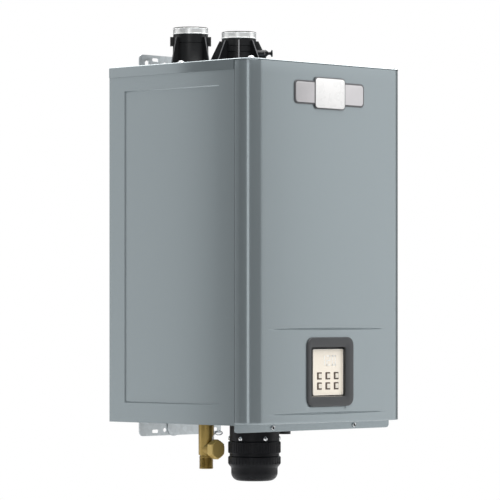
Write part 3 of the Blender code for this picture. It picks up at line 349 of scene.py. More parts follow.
def crease_depth(x, z):
    """How far a crease is pressed in: lens-shaped along the cover, with a soft round section."""
    depth = 0
    for level in crease_levels:
        along = 1 - (x / crease_half) ** 2
        if along > 0:
            across = (z - level) / (crease_spread * (0.35 + 0.65 * along))
            if abs(across) < 1:
                depth = crease_sink * math.sqrt(along) * (1 - across * across) ** 2
    return depth


cover = bmesh.new()
plan = cover_plan()
levels = cover_levels()
rows = []
for level, inset in levels:
    row = []
    for (x, y), (out_x, out_y) in plan:
        sunk = inset
        if out_y == -1:
            sunk += crease_depth(x, level)
        row.append(cover.verts.new((x - out_x * sunk, y - out_y * sunk, level)))
    rows.append(row)
for lower, upper in zip(rows, rows[1:]):
    middle_z = (lower[0].co.z + upper[0].co.z) / 2
    for i in range(len(plan) - 1):
        middle_x = (plan[i][0][0] + plan[i + 1][0][0]) / 2
        front_face = plan[i][1][1] == -1 and plan[i + 1][1][1] == -1
        if front_face and opening_x[0] < middle_x < opening_x[1] and opening_z[0] < middle_z < opening_z[1]:
            continue
        cover.faces.new((lower[i], lower[i + 1], upper[i + 1], upper[i]))
cover.faces.new(list(reversed(rows[0])))
cover.faces.new(rows[-1])
loose = [vert for vert in cover.verts if not vert.link_faces]
bmesh.ops.delete(cover, geom=loose, context="VERTS")
shell = made(
    "cover_sheet", cover, case_paint, "cover", ["front_cover"], angle=50, recalculate=False
)
wall = shell.modifiers.new("sheet", "SOLIDIFY")
wall.thickness = cover_sheet
wall.offset = -1

strip = bmesh.new()
tab_low = cover_low - 0.0162
tab_corner = 0.008


def tab(inset):
    return [
        (cover_half - inset, cover_low + 0.004),
        (-cover_half + inset, cover_low + 0.004),
        *arc(-cover_half + tab_corner, tab_low + tab_corner, tab_corner - inset, 180, 270, 8),
        *arc(cover_half - tab_corner, tab_low + tab_corner, tab_corner - inset, 270, 360, 8),
    ]


loft(
    strip,
    [(tab(0.0004), 0.3602), (tab(0), 0.3599), (tab(0), 0.3593), (tab(0.0002), 0.3590)],
    axis="Y",
)
made("cover_tab_strip", strip, case_paint, "cover")

# Cover seal: a foam rubber frame stuck inside the seam, seen only with the cover off
foam = finish("foam_rubber", (0.03, 0.03, 0.03), 0.85, grain=500, bump=0.5, tint=0.3)
coat_node("cover_seal", foam)

# Screws of the sheet metal: zinc-plated, dome heads with a cross recess on the lid, pan heads in the cover's strip.
# Each is turned once and repeated along a line by a node tree. No recess is cut: the near-black bars and discs set into
# the heads are painted shade.
zinc = finish("zinc_plate", (0.72, 0.73, 0.74), 0.24, metallic=1.0, grain=1500, bump=0.08, tint=0.05)
# Near-black painted shade: in screw recesses and slots, on the controller window's inner walls, and in the gap round
# the controller's face
painted_shade_black = finish("painted_shade_near_black", (0.012, 0.013, 0.014), 0.55, grain=1200)


def lathe(bm, profile, steps=48, place=Matrix(), ring=False):
    """Turns (radius, height) points about Z; a point on the axis closes the end."""
    loops = []
    for radius, height in profile:
        if radius < 1e-7:
            loops.append([bm.verts.new(place @ Vector((0, 0, height)))])
            continue
        turns = [math.tau * i / steps for i in range(steps)]
        loops.append(
            [bm.verts.new(place @ Vector((radius * math.cos(a), radius * math.sin(a), height)))
            for a in turns]
        )
    pairs = list(zip(loops, loops[1:]))
    if ring:
        pairs.append((loops[-1], loops[0]))
    for upper, lower in pairs:
        for i in range(steps):
            j = (i + 1) % steps
            if len(upper) == 1:
                bm.faces.new((upper[0], lower[i], lower[j]))
            elif len(lower) == 1:
                bm.faces.new((upper[i], lower[0], upper[j]))
            else:
                bm.faces.new((upper[i], lower[i], lower[j], upper[j]))


def row_tree():
    """Repeats the shape along a line: Count times, Step apart, all in one Finish."""
    tree = bpy.data.node_groups.new("repeat_in_a_row", "GeometryNodeTree")
    face = tree.interface
    face.new_socket("Shape", in_out="INPUT", socket_type="NodeSocketGeometry")
    count = face.new_socket("Count", in_out="INPUT", socket_type="NodeSocketInt")
    step = face.new_socket("Step", in_out="INPUT", socket_type="NodeSocketVector")
    coat = face.new_socket("Finish", in_out="INPUT", socket_type="NodeSocketMaterial")
    face.new_socket("Row", in_out="OUTPUT", socket_type="NodeSocketGeometry")
    nodes, links = tree.nodes, tree.links
    given = nodes.new("NodeGroupInput")
    line = nodes.new("GeometryNodeMeshLine")
    line.mode = "OFFSET"
    links.new(given.outputs["Count"], line.inputs["Count"])
    links.new(given.outputs["Step"], line.inputs["Offset"])
    spots = nodes.new("GeometryNodeInstanceOnPoints")
    links.new(line.outputs[0], spots.inputs["Points"])
    links.new(given.outputs["Shape"], spots.inputs["Instance"])
    real = nodes.new("GeometryNodeRealizeInstances")
    links.new(spots.outputs[0], real.inputs[0])
    painted = nodes.new("GeometryNodeSetMaterial")
    links.new(real.outputs[0], painted.inputs["Geometry"])
    links.new(given.outputs["Finish"], painted.inputs["Material"])
    result = nodes.new("NodeGroupOutput")
    links.new(painted.outputs[0], result.inputs["Row"])
    return tree, {"Count": count.identifier, "Step": step.identifier, "Finish": coat.identifier}


row_of, row_sockets = row_tree()


def repeated(name, bm, tree, sockets, values, place, material, body, nodes=(), angle=35):
    """One piece from a shape that a node tree repeats; the tree's result becomes a plain mesh in its place."""
    bmesh.ops.recalc_face_normals(bm, faces=bm.faces)
    mesh = bpy.data.meshes.new(name)
    bm.to_mesh(mesh)
    bm.free()
    obj = bpy.data.objects.new(name, mesh)
    bpy.context.scene.collection.objects.link(obj)
    repeat = obj.modifiers.new("repeat", "NODES")
    repeat.node_group = tree
    for label, value in values.items():
        repeat[sockets[label]] = value
    repeat[sockets["Finish"]] = material
    graph = bpy.context.evaluated_depsgraph_get()
    graph.update()
    plain = bpy.data.meshes.new_from_object(obj.evaluated_get(graph))
    obj.modifiers.clear()
    plain.transform(place)
    plain.shade_smooth()
    plain.set_sharp_from_angle(angle=math.radians(angle))
    obj.data = plain
    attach(obj, body)
    if nodes:
        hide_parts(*nodes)
    return obj


def dome_screw(bm, radius=0.0064, height=0.0052):
    """A dome head and a short shank."""
    profile = [(0, height)]
    for turn in range(15, 91, 15):
        lean = math.radians(turn)
        profile.append((radius * math.sin(lean), height * (0.2 + 0.8 * math.cos(lean))))
    profile += [(radius, 0.0003), (radius - 0.0003, 0), (0.002, 0), (0.002, -0.006), (0, -0.006)]
    lathe(bm, profile, 32)


# Painted shade: two near-black bars set into the dome, where the cross recess would lie in shadow
def painted_cross_shade(bm, radius, height):
    for turn in (0, 90):
        bar = Matrix.Rotation(math.radians(turn), 4, "Z")
        loft(
            bm,
            [(rounded(-radius, -0.0006, radius, 0.0006, 0.0003, 2), height - 0.0010),
             (rounded(-radius, -0.0006, radius, 0.0006, 0.0003, 2), height + 0.00005)],
            place=bar,
        )


for name, count, x, y, nodes in (
    ("lid_screws_front", 2, -0.2025, -0.385, ["lid_screw_front_left", "lid_screw_front_right"]),
    ("lid_screws_side", 1, -0.2105, -0.203, ["lid_screw_left"]),
):
    spot = Matrix.Translation((x, y, lid_top + 0.0003))
    head = bmesh.new()
    dome_screw(head)
    repeated(name, head, row_of, row_sockets, {"Count": count, "Step": (0.405, 0, 0)}, spot, zinc, "case",
             nodes)
    cross = bmesh.new()
    painted_cross_shade(cross, 0.0026, 0.0051)
    repeated(name + "_cross", cross, row_of, row_sockets, {"Count": count, "Step": (0.405, 0, 0)}, spot, painted_shade_black,
             "case")

pan_spot = Matrix.Translation(
    (-0.117, -0.3605, cover_low - 0.0085)
) @ Matrix.Rotation(math.radians(90), 4, "X")
pan = bmesh.new()
lathe(pan, [(0.0026, 0.0009), (0.0034, 0.0024), (0.0040, 0.0026), (0.0046, 0.0019), (0.0048, 0.0008), (0.0048, 0),
            (0.002, 0), (0.002, -0.010), (0, -0.010), ], 32)
lathe(pan, [(0, 0.0009), (0.0026, 0.0009)], 32)
repeated("cover_screws", pan, row_of, row_sockets, {"Count": 2, "Step": (0.234, 0, 0)}, pan_spot, zinc, "cover",
         ["cover_screw_left", "cover_screw_right"])
# Painted shade: a near-black disc set into each pan head, where its recess would lie in shadow
pan_recess_shade = bmesh.new()
lathe(pan_recess_shade, [(0, 0.0012), (0.0029, 0.0012), (0.0029, 0.0002), (0, 0.0002)], 24)
repeated("cover_screw_painted_recess_shade", pan_recess_shade, row_of, row_sockets, {"Count": 2, "Step": (0.234, 0, 0)}, pan_spot,
         painted_shade_black, "cover")

# Controller: a dark grey moulded bezel snapped into the cover, with a sunk glossy cream face behind its
# window
bezel_grey = finish("bezel_plastic", (0.047, 0.048, 0.051), 0.42, grain=1600, bump=0.10, tint=0.04)
cream = finish("cream_face", (0.93, 0.85, 0.73), 0.22, grain=700, bump=0.02, tint=0.015, coat=0.3)
rim_white = finish("rim_white", (0.93, 0.90, 0.84), 0.25, grain=700, bump=0.02, tint=0.01)
# Dark brown painted shade on the keys' left, top and bottom edges and round them
key_painted_shade = finish("key_shade_dark_brown", (0.085, 0.055, 0.035), 0.45, grain=900, bump=0.03, tint=0.10)
key_cream = finish("key_cream", (0.84, 0.78, 0.68), 0.30, grain=900, bump=0.03, tint=0.02)
digit_white = finish("digit_white", (0.95, 0.93, 0.88), 0.30, grain=900, bump=0.02, tint=0.01)
bezel_x = 0.002
face_x = -0.0049
face_z = -0.61905


def frame_outline(half_u, half_v, radius, x=face_x, z=face_z):
    return rounded(x - half_u, z - half_v, x + half_u, z + half_v, radius, 10)


bezel = bmesh.new()
loft(
    bezel,
    [
        (frame_outline(0.06625, 0.0675, 0.0165, bezel_x), 0.4013),
        (frame_outline(0.06625, 0.0675, 0.0165, bezel_x), 0.4030),
        (frame_outline(0.06595, 0.0672, 0.0162, bezel_x), 0.4038),
        (frame_outline(0.06525, 0.0665, 0.0155, bezel_x), 0.4045),
        (frame_outline(0.06425, 0.0655, 0.0145, bezel_x), 0.4048),
        (frame_outline(0.0500, 0.0493, 0.0048), 0.4048),
        (frame_outline(0.0494, 0.0487, 0.0042), 0.4045),
        (frame_outline(0.04925, 0.0485, 0.0040), 0.4040),
        (frame_outline(0.04925, 0.0485, 0.0040), 0.3979),
        (frame_outline(0.05175, 0.0510, 0.0040), 0.3979),
        (frame_outline(0.05175, 0.0510, 0.0040), 0.3885),
        (frame_outline(0.0535, 0.0538, 0.0060), 0.3885),
        (frame_outline(0.0535, 0.0538, 0.0060), 0.4013),
    ],
    axis="Y",
    ring=True,
)
made("controller_surround", bezel, bezel_grey, "cover", ["controller_bezel"])
# Painted shade: a near-black sheet over the window's inner walls, which are the bezel's own grey plastic lying in
# shadow
window_wall_shade_bm = bmesh.new()
loft(
    window_wall_shade_bm,
    [
        (frame_outline(0.04925, 0.0485, 0.0040), 0.3981),
        (frame_outline(0.04925, 0.0485, 0.0040), 0.4038),
        (frame_outline(0.0490, 0.04825, 0.0038), 0.4038),
        (frame_outline(0.0490, 0.04825, 0.0038), 0.3981),
    ],
    axis="Y",
    ring=True,
)
made("controller_window_painted_shade", window_wall_shade_bm, painted_shade_black, "cover")

face_front = 0.39765
key_columns = (-0.0239, 0.0003, 0.02435)
key_rows = (-0.62695, -0.64675)
plate_x = 0.0011
plate_z = -0.61975
backing_front = face_front - 0.0009
key_half = 0.006

key_hole = key_half + 0.0002


def pierced(bm):
    """The plate with its six key holes cut through, so that a pressed key sinks into an opening."""
    pins = bmesh.new()
    for x in key_columns:
        for z in key_rows:
            opening = rounded(x - key_hole, z - key_hole, x + key_hole, z + key_hole, 0.0010, 3)
            loft(pins, [(opening, 0.390), (opening, 0.402)], axis="Y")
    found = []
    for shape in (pins, bm):
        bmesh.ops.recalc_face_normals(shape, faces=shape.faces)
        mesh = bpy.data.meshes.new("plate_work")
        shape.to_mesh(mesh)
        shape.free()
        found.append(bpy.data.objects.new("plate_work", mesh))
        bpy.context.scene.collection.objects.link(found[-1])
    cutter, solid = found
    holes = solid.modifiers.new("holes", "BOOLEAN")
    holes.operation = "DIFFERENCE"
    holes.solver = "EXACT"
    holes.object = cutter
    graph = bpy.context.evaluated_depsgraph_get()
    graph.update()
    plain = bpy.data.meshes.new_from_object(solid.evaluated_get(graph))
    for piece in found:
        bpy.data.objects.remove(piece)
    result = bmesh.new()
    result.from_mesh(plain)
    return result


panel = bmesh.new()
loft(
    panel,
    [
        (frame_outline(0.0437, 0.04515, 0.0030, plate_x, plate_z), backing_front),
        (frame_outline(0.0437, 0.04515, 0.0030, plate_x, plate_z), face_front - 0.0002),
        (frame_outline(0.0435, 0.04495, 0.0028, plate_x, plate_z), face_front),
    ],
    axis="Y",
)
made(
    "controller_face", pierced(panel), cream, "cover", ["controller_plate", "display_window"]
)
# Painted shade: the near-black backing shows only in the gap round the cream face, which lies in shadow
backing = bmesh.new()
loft(
    backing,
    [(frame_outline(0.0514, 0.0507, 0.0038), 0.3953), (frame_outline(0.0514, 0.0507, 0.0038), backing_front)],
    axis="Y",
)
made("controller_backing", pierced(backing), painted_shade_black, "cover")
rim = bmesh.new()
loft(
    rim,
    [
        (frame_outline(0.0435, 0.04495, 0.0028, plate_x, plate_z), face_front - 0.0001),
        (frame_outline(0.0434, 0.04485, 0.0027, plate_x, plate_z), face_front + 0.0003),
        (frame_outline(0.0426, 0.04405, 0.0022, plate_x, plate_z), face_front + 0.0003),
        (frame_outline(0.0425, 0.04395, 0.0021, plate_x, plate_z), face_front - 0.0001),
    ],
    axis="Y",
    ring=True,
)
made("controller_face_rim", rim, rim_white, "cover")
sill = bmesh.new()
loft(
    sill,
    [
        (rounded(face_x - 0.0440, face_z - 0.0484, face_x + 0.0440, face_z - 0.0478, 0.0002, 2), face_front),
        (rounded(face_x - 0.0440, face_z - 0.0484, face_x + 0.0440, face_z - 0.0478, 0.0002, 2), 0.4010),
    ],
    axis="Y",
)
made("controller_sill", sill, cream, "cover")

# Display digits: three plain seven-bar figures, printed faintly in the upper part of the face
digit_bars = {"0": "abcdef", "1": "bc", "2": "abged"}
digit_width = 0.0113
digit_height = 0.0207
bar_width = 0.0026
digit_step = 0.0157
digits = bmesh.new()
for place_in_row, figure in enumerate("120"):
    left = -0.01965 + place_in_row * digit_step
    low = -0.6074
    right = left + digit_width
    high = low + digit_height
    middle = (low + high) / 2
    boxes = {
        "a": (left, high - bar_width, right, high),
        "b": (right - bar_width, middle + 0.0004, right, high - 0.0004),
        "c": (right - bar_width, low + 0.0004, right, middle - 0.0004),
        "d": (left, low, right, low + bar_width),
        "e": (left, low + 0.0004, left + bar_width, middle - 0.0004),
        "f": (left, middle + 0.0004, left + bar_width, high - 0.0004),
        "g": (left, middle - bar_width / 2, right, middle + bar_width / 2),
    }
    for bar in digit_bars[figure]:
        loft(
            digits,
            [(rounded(*boxes[bar], 0.0004, 2), face_front + offset) for offset in (-0.0001, 0.00015)],
            axis="Y",
        )
made("display_digits", digits, digit_white, "cover")

# Keys: six square cream pads, each on its own cap, and each cap moves by itself. The dark brown left, top and bottom
# edges of each cap, and the dark brown ring round each key, widest on its left, are painted shade; the rings of each
# row are one piece
for row, z in enumerate(key_rows):
    shade_ring = bmesh.new()
    outer = rounded(-key_half - 0.0012, -key_half - 0.0012, key_half + 0.0005, key_half + 0.0011, 0.0012, 3)
    inner = rounded(-key_hole, -key_hole, key_hole, key_hole, 0.0010, 3)
    print_low = face_front - 0.0001
    print_high = face_front + 0.0002
    loft(shade_ring, [(outer, print_low), (outer, print_high), (inner, print_high), (inner, print_low)], ring=True)
    stand = Matrix.Translation((key_columns[0], 0, z)) @ Matrix.Rotation(math.radians(90), 4, "X")
    repeated(f"key_shade_rings_{row + 1}", shade_ring, row_of, row_sockets, {"Count": 3, "Step": (0.02415, 0, 0)}, stand,
             key_painted_shade, "cover")
for index in range(6):
    x = key_columns[index % 3]
    z = key_rows[index // 3]
    cap = bmesh.new()

    def cap_outline(inset):
        return rounded(x - key_half + 0.0034 + inset, z - key_half + 0.0016 + inset, x + key_half - 0.0002 - inset,
                       z + key_half - 0.0016 - inset, 0.0008, 3)

    base = rounded(x - key_half, z - key_half, x + key_half, z + key_half, 0.001, 3)
    loft(cap, [(base, 0.3942), (base, face_front + 0.00035)], axis="Y")
    made(f"key_cap_{index + 1}", cap, key_painted_shade, f"key_{index + 1}", [f"key_{index + 1}"])
    pad = bmesh.new()
    loft(
        pad,
        [(cap_outline(0), face_front + 0.0003), (cap_outline(0), face_front + 0.0006),
         (cap_outline(0.0004), face_front + 0.0008)],
        axis="Y",
    )
    made(f"key_pad_{index + 1}", pad, key_cream, f"key_{index + 1}")

circuit = finish("solder_mask", (0.02, 0.13, 0.06), 0.35, grain=400, bump=0.15, tint=0.25, coat=0.3)
for node in ("controller_board", "control_board"):
    coat_node(node, circuit)

# Badge place: a satin silver bar with a dark border and a blank white block in its middle, stuck to the cover
silver_bar = finish("satin_silver", (0.62, 0.60, 0.61), 0.34, metallic=0.5, grain=900, bump=0.04, tint=0.03)
badge_border = finish("badge_border", (0.095, 0.095, 0.10), 0.4, grain=900, bump=0.04, tint=0.05)
block_white = finish("badge_block_white", (0.86, 0.85, 0.84), 0.28, grain=700, bump=0.03, tint=0.01, coat=0.2)
badge_z = -0.07525


def badge_outline(half_u, half_v, radius):
    return rounded(-half_u, badge_z - half_v, half_u, badge_z + half_v, radius, 10)


border = bmesh.new()
loft(
    border,
    [(badge_outline(0.100, 0.023, 0.009), 0.4013), (badge_outline(0.100, 0.023, 0.009), 0.4026),
     (badge_outline(0.0992, 0.0222, 0.0082), 0.4031)],
    axis="Y",
)
made("badge_border", border, badge_border, "cover", ["badge_plate"])
bar = bmesh.new()
loft(
    bar,
    [(badge_outline(0.0968, 0.0198, 0.0066), 0.4029), (badge_outline(0.0968, 0.0198, 0.0066), 0.4034),
     (badge_outline(0.0962, 0.0192, 0.0060), 0.4036)],
    axis="Y",
)
made("badge_bar", bar, silver_bar, "cover")
edge = bmesh.new()
loft(
    edge,
    [(badge_outline(0.0440, 0.0310, 0.0085), 0.4030), (badge_outline(0.0440, 0.0310, 0.0085), 0.4040),
     (badge_outline(0.0434, 0.0304, 0.0080), 0.4044)],
    axis="Y",
)
made("badge_block_edge", edge, badge_border, "cover")
block = bmesh.new()
loft(
    block,
    [(badge_outline(0.0418, 0.0288, 0.0066), 0.4042), (badge_outline(0.0418, 0.0288, 0.0066), 0.4046),
     (badge_outline(0.0410, 0.0280, 0.0060), 0.4050)],
    axis="Y",
)
made("badge_block", block, block_white, "cover")

# Wall brackets: stepped galvanised strips, slotted for the wall screws; the zinc shows its crystal pattern
galvanised = finish(
    "galvanised_sheet", (0.50, 0.53, 0.545), 0.36, metallic=0.85, grain=900, bump=0.05, tint=0.14, cells=True
)
for node in ("upper_wall_bracket", "lower_wall_bracket"):
    coat_node(node, galvanised)
for node in ("control_box", "gas_pipe"):
    coat_node(node, galvanised)

# Vent collars: black moulded sockets for 2-inch vent pipe on the lid, stiffened by gussets; each has a rubber lip and a
# bright clamp band at its mouth. The gussets are repeated round the axis by a node tree; the two clips are made one by
# one
black = finish("black_moulding", (0.0085, 0.0088, 0.0095), 0.34, grain=1500, bump=0.06, tint=0.15, shine=0.35)
# Painted highlight: a paler grey for the light caught along the gussets' slanted edges
gusset_painted_highlight = finish("gusset_highlight_grey", (0.09, 0.09, 0.095), 0.45, grain=1500, bump=0.10, tint=0.10)
stainless = finish(
    "stainless_band", (
        0.88, 0.88, 0.87
    ), 0.30, metallic=0.55, grain=1200, bump=0.04, tint=0.03, stretch=(1, 1, 12)
)
lip_rubber = finish("lip_rubber", (0.008, 0.008, 0.008), 0.7, grain=1200, bump=0.15, tint=0.15, shine=0.1)
vent_y = -0.1575
exhaust_x = -0.0025
intake_x = -0.1395
mouth = 0.0760


def ring_tree():
    """Repeats the shape round Z: Count times, Radius away from the axis, all in one Finish."""
    tree = bpy.data.node_groups.new("repeat_in_a_ring", "GeometryNodeTree")
    face = tree.interface
    face.new_socket("Shape", in_out="INPUT", socket_type="NodeSocketGeometry")
    count = face.new_socket("Count", in_out="INPUT", socket_type="NodeSocketInt")
    radius = face.new_socket("Radius", in_out="INPUT", socket_type="NodeSocketFloat")
    coat = face.new_socket("Finish", in_out="INPUT", socket_type="NodeSocketMaterial")
    face.new_socket("Ring", in_out="OUTPUT", socket_type="NodeSocketGeometry")
    nodes, links = tree.nodes, tree.links
    given = nodes.new("NodeGroupInput")
    circle = nodes.new("GeometryNodeMeshCircle")
    circle.fill_type = "NONE"
    links.new(given.outputs["Count"], circle.inputs["Vertices"])
    links.new(given.outputs["Radius"], circle.inputs["Radius"])
    number = nodes.new("GeometryNodeInputIndex")
    share = nodes.new("ShaderNodeMath")
    share.operation = "DIVIDE"
    links.new(number.outputs[0], share.inputs[0])
    links.new(given.outputs["Count"], share.inputs[1])
    turn = nodes.new("ShaderNodeMath")
    turn.operation = "MULTIPLY"
    turn.inputs[1].default_value = math.tau
    links.new(share.outputs[0], turn.inputs[0])
    about = nodes.new("ShaderNodeCombineXYZ")
    links.new(turn.outputs[0], about.inputs["Z"])
    rotation = nodes.new("FunctionNodeEulerToRotation")
    links.new(about.outputs[0], rotation.inputs[0])
    spots = nodes.new("GeometryNodeInstanceOnPoints")
    links.new(circle.outputs[0], spots.inputs["Points"])
    links.new(given.outputs["Shape"], spots.inputs["Instance"])
    links.new(rotation.outputs[0], spots.inputs["Rotation"])
    real = nodes.new("GeometryNodeRealizeInstances")
    links.new(spots.outputs[0], real.inputs[0])
    painted = nodes.new("GeometryNodeSetMaterial")
    links.new(real.outputs[0], painted.inputs["Geometry"])
    links.new(given.outputs["Finish"], painted.inputs["Material"])
    result = nodes.new("NodeGroupOutput")
    links.new(painted.outputs[0], result.inputs["Ring"])
    return tree, {"Count": count.identifier, "Radius": radius.identifier, "Finish": coat.identifier}


ring_of, ring_sockets = ring_tree()


def collar(name, x, rings, node):
    """One socket: spigot through the lid, body with shallow grooves, seat for the band, bore with its stop."""
    radius_at = lambda height: 0.0358 - 0.0013 * height / 0.065
    profile = [(0.0305, mouth), (0.0336, mouth), (0.0340, mouth - 0.0004), (0.0340, mouth - 0.0014), (0.0331, mouth - 0.0016),
               (0.0331, mouth - 0.0140), (0.0345, mouth - 0.0142)]
    for height in rings:
        profile += [(radius_at(height), height + 0.0012), (radius_at(height) - 0.0011, height + 0.0008),
                    (radius_at(height) - 0.0011, height - 0.0008), (radius_at(height), height - 0.0012)]
    profile += [(radius_at(0.003), 0.003), (0.0368, 0.0006), (0.0368, 0.0003), (0.0325, 0.0003), (0.0325, -0.020),
                (0.0275, -0.020), (0.0275, 0.0185), (0.0305, 0.0185)]
    bm = bmesh.new()
    place = Matrix.Translation((x, vent_y, lid_top))
    lathe(bm, profile, 96, place, ring=True)
    made(name, bm, black, "case", [node])
    seal = bmesh.new()
    lathe(seal, [(0.0303, mouth + 0.0001), (0.0332, mouth + 0.0001), (0.0344, mouth - 0.0003), (0.0345, mouth - 0.0012),
                 (0.0338, mouth - 0.0016), (0.0303, mouth - 0.0030)], 96, place, ring=True)
    made(name + "_lip", seal, lip_rubber, "case")


def clamp_band(name, x, node):
    """A thin stainless band with rolled edges."""
    top = mouth - 0.0019
    low = mouth - 0.0135
    place = Matrix.Translation((x, vent_y, lid_top))
    bm = bmesh.new()
    lathe(bm, [(0.0333, top), (0.0346, top), (0.0350, top - 0.0005), (0.0350, top - 0.0014), (0.0346, top - 0.0019),
               (0.0346, low + 0.0019), (0.0350, low + 0.0014), (0.0350, low + 0.0005), (0.0346, low), (0.0333, low)],
          96, place, ring=True)
    made(name, bm, stainless, "case", [node])


def gussets(name, x, count, foot, top, height, start):
    """Thin triangular gussets from the lid up the collar's side; a paler grey strip along each slanted edge is a
    painted highlight.
    """
    blade = [(0.0330, 0.0004), (foot, 0.0004), (foot, 0.0034), (top, height), (0.0330, height)]
    place = Matrix.Translation((x, vent_y, lid_top)) @ Matrix.Rotation(math.radians(start), 4, "Z")
    bm = bmesh.new()
    loft(bm, [(blade, -0.0015), (blade, 0.0015)], axis="Y")
    repeated(
        name, bm, ring_of, ring_sockets, {"Count": count, "Radius": 0.0}, place, black, "case",
    )
    rib = [
        (foot - 0.0004, 0.0030), (foot + 0.0003, 0.0036), (top + 0.0003, height + 0.0002),
        (top - 0.0012, height - 0.0002)
    ]
    bm = bmesh.new()
    loft(bm, [(rib, -0.0013), (rib, 0.0013)], axis="Y")
    repeated(name + "_painted_highlights", bm, ring_of, ring_sockets, {"Count": count, "Radius": 0.0}, place, gusset_painted_highlight, "case")


collar("exhaust_socket", exhaust_x, (0.0465, 0.0345), "exhaust_collar")
collar("intake_socket", intake_x, (0.0445,), "intake_collar")
clamp_band("exhaust_band", exhaust_x, "exhaust_clamp_band")
clamp_band("intake_band", intake_x, "intake_clamp_band")
gussets("exhaust_gussets", exhaust_x, 8, 0.0650, 0.0388, 0.058, -46)
gussets("intake_gussets", intake_x, 4, 0.0525, 0.0400, 0.056, 0)
clips = bmesh.new()
clip_outline = [(0.0335, -0.0046), (0.0405, -0.0046), (0.0405, 0.0046), (0.0335, 0.0046)]
for turn in (-45, 135):
    clip_place = Matrix.Translation((intake_x, vent_y, lid_top)) @ Matrix.Rotation(math.radians(turn), 4, "Z")
    loft(clips, [(clip_outline, 0.040), (clip_outline, 0.058)], place=clip_place)
made("intake_clips", clips, black, "case")

# Test port: a boss low on the exhaust collar, closed by a black push-in plug with a pull flange
port_axis = (
    Matrix.Translation((exhaust_x, vent_y, lid_top + 0.0340))
    @ Matrix.Rotation(math.radians(-46), 4, "Z")
    @ Matrix.Rotation(math.radians(90), 4, "Y")
)
boss = bmesh.new()
lathe(boss, [(0, 0.0335), (0.0073, 0.0335), (0.0073, 0.0512), (0.0070, 0.0519), (0, 0.0519)], 40, port_axis)
made("test_port_boss", boss, black, "case")
plug = bmesh.new()
lathe(
    plug,
    [
        (0, 0.0521), (0.0070, 0.0521), (0.0073, 0.0528), (0.0072, 0.0545), (0.0056, 0.0567), (0.0034, 0.0590),
        (
            0.0031, 0.0630
        ), (0.0046, 0.0643), (0.0068, 0.0646), (0.0071, 0.0651), (0.0071, 0.0674), (0.0066, 0.0679),
        (0.0030, 0.0679), (0.0026, 0.0674), (0, 0.0674),
    ],
    40,
    port_axis,
)
made("test_port_cap", plug, black, "port_plug", ["test_port_plug"])

# Cold-water inlet: a brass tee with a cut pipe thread, and a hexagonal cap over its strainer
brass = finish(
    "cast_brass", (0.29, 0.20, 0.055), 0.30, metallic=0.65, grain=700, bump=0.12, tint=0.12, spread=0.07
)
inlet_x = -0.1425
water_y = -0.204


def thread(bm, radius, depth, pitch, low, high, place, steps=48):
    """A pipe thread cut round a cylinder: its skin is pushed in along a helix, and it runs out at both ends."""
    count = int((high - low) / pitch * 8)
    loops = []
    for k in range(count + 1):
        z = low + (high - low) * k / count
        fade = min(1, (z - low) / pitch, (high - z) / pitch)
        loop = []
        for i in range(steps):
            phase = (z / pitch - i / steps) % 1
            cut = depth * fade * (1 - abs(2 * phase - 1))
            turn = math.tau * i / steps
            loop.append(
                bm.verts.new(
                    place @ Vector(((radius - cut) * math.cos(turn), (radius - cut) * math.sin(turn), z))
                )
            )
        loops.append(loop)
    for lower, upper in zip(loops, loops[1:]):
        for i in range(steps):
            j = (i + 1) % steps
            bm.faces.new((lower[i], lower[j], upper[j], upper[i]))
    return loops[0], loops[-1]


def threaded_end(bm, upper_profile, radius, bore, bore_depth, thread_high, end, place, steps=48):
    """A fitting: its upper body from (radius, height) points, a thread down to its end, and its blind bore."""
    low_loop, high_loop = thread(bm, radius, 0.0009, 0.0018, end + 0.0008, thread_high, place, steps)
    turns = [math.tau * i / steps for i in range(steps)]

    def loop_at(r, z):
        return [bm.verts.new(place @ Vector((r * math.cos(a), r * math.sin(a), z))) for a in turns]

    def skin(upper, lower):
        for i in range(steps):
            j = (i + 1) % steps
            bm.faces.new((upper[i], lower[i], lower[j], upper[j]))

    above = [loop_at(r, z) for r, z in upper_profile]
    for upper, lower in zip(above, above[1:] + [high_loop]):
        skin(upper, lower)
    below = [
        loop_at(radius - 0.0008, end), loop_at(bore + 0.0004, end), loop_at(bore, end + 0.0004),
        loop_at(bore, end + bore_depth)
    ]
    for upper, lower in zip([low_loop] + below, below):
        skin(upper, lower)
    bm.faces.new(below[-1])
    bm.faces.new(list(reversed(above[0])))


tee_place = Matrix.Translation((inlet_x, water_y, 0))
tee_bm = bmesh.new()
threaded_end(
    tee_bm,
    [
        (0.0140, -0.71425), (0.0152, -0.7150), (0.0152, -0.7822), (0.0146, -0.7832), (0.0129, -0.7836),
        (0.0128, -0.7860), (0.0136, -0.7868)
    ],
    0.0139, 0.0100, 0.040, -0.7874, -0.81025, tee_place,
)
branch_z = -0.77155
out_place = Matrix.Translation((inlet_x, water_y, branch_z)) @ Matrix.Rotation(math.radians(90), 4, "X")
lathe(
    tee_bm,
    [
        (0, 0.004), (0.0148, 0.004), (0.0148, 0.0165), (0.0138, 0.0172), (0.0138, 0.0184), (0.0148, 0.0190),
        (0.0148, 0.0194), (0, 0.0194)
    ],
    48, out_place
)
made("inlet_tee", tee_bm, brass, "case", ["cold_inlet_tee"])


def hexagon(flats, inset=0.0):
    reach = (flats / 2 - inset) / math.cos(math.radians(30))
    return [
        (reach * math.cos(math.radians(60 * i + 90)), reach * math.sin(math.radians(60 * i + 90)))
        for i in range(6)
    ]


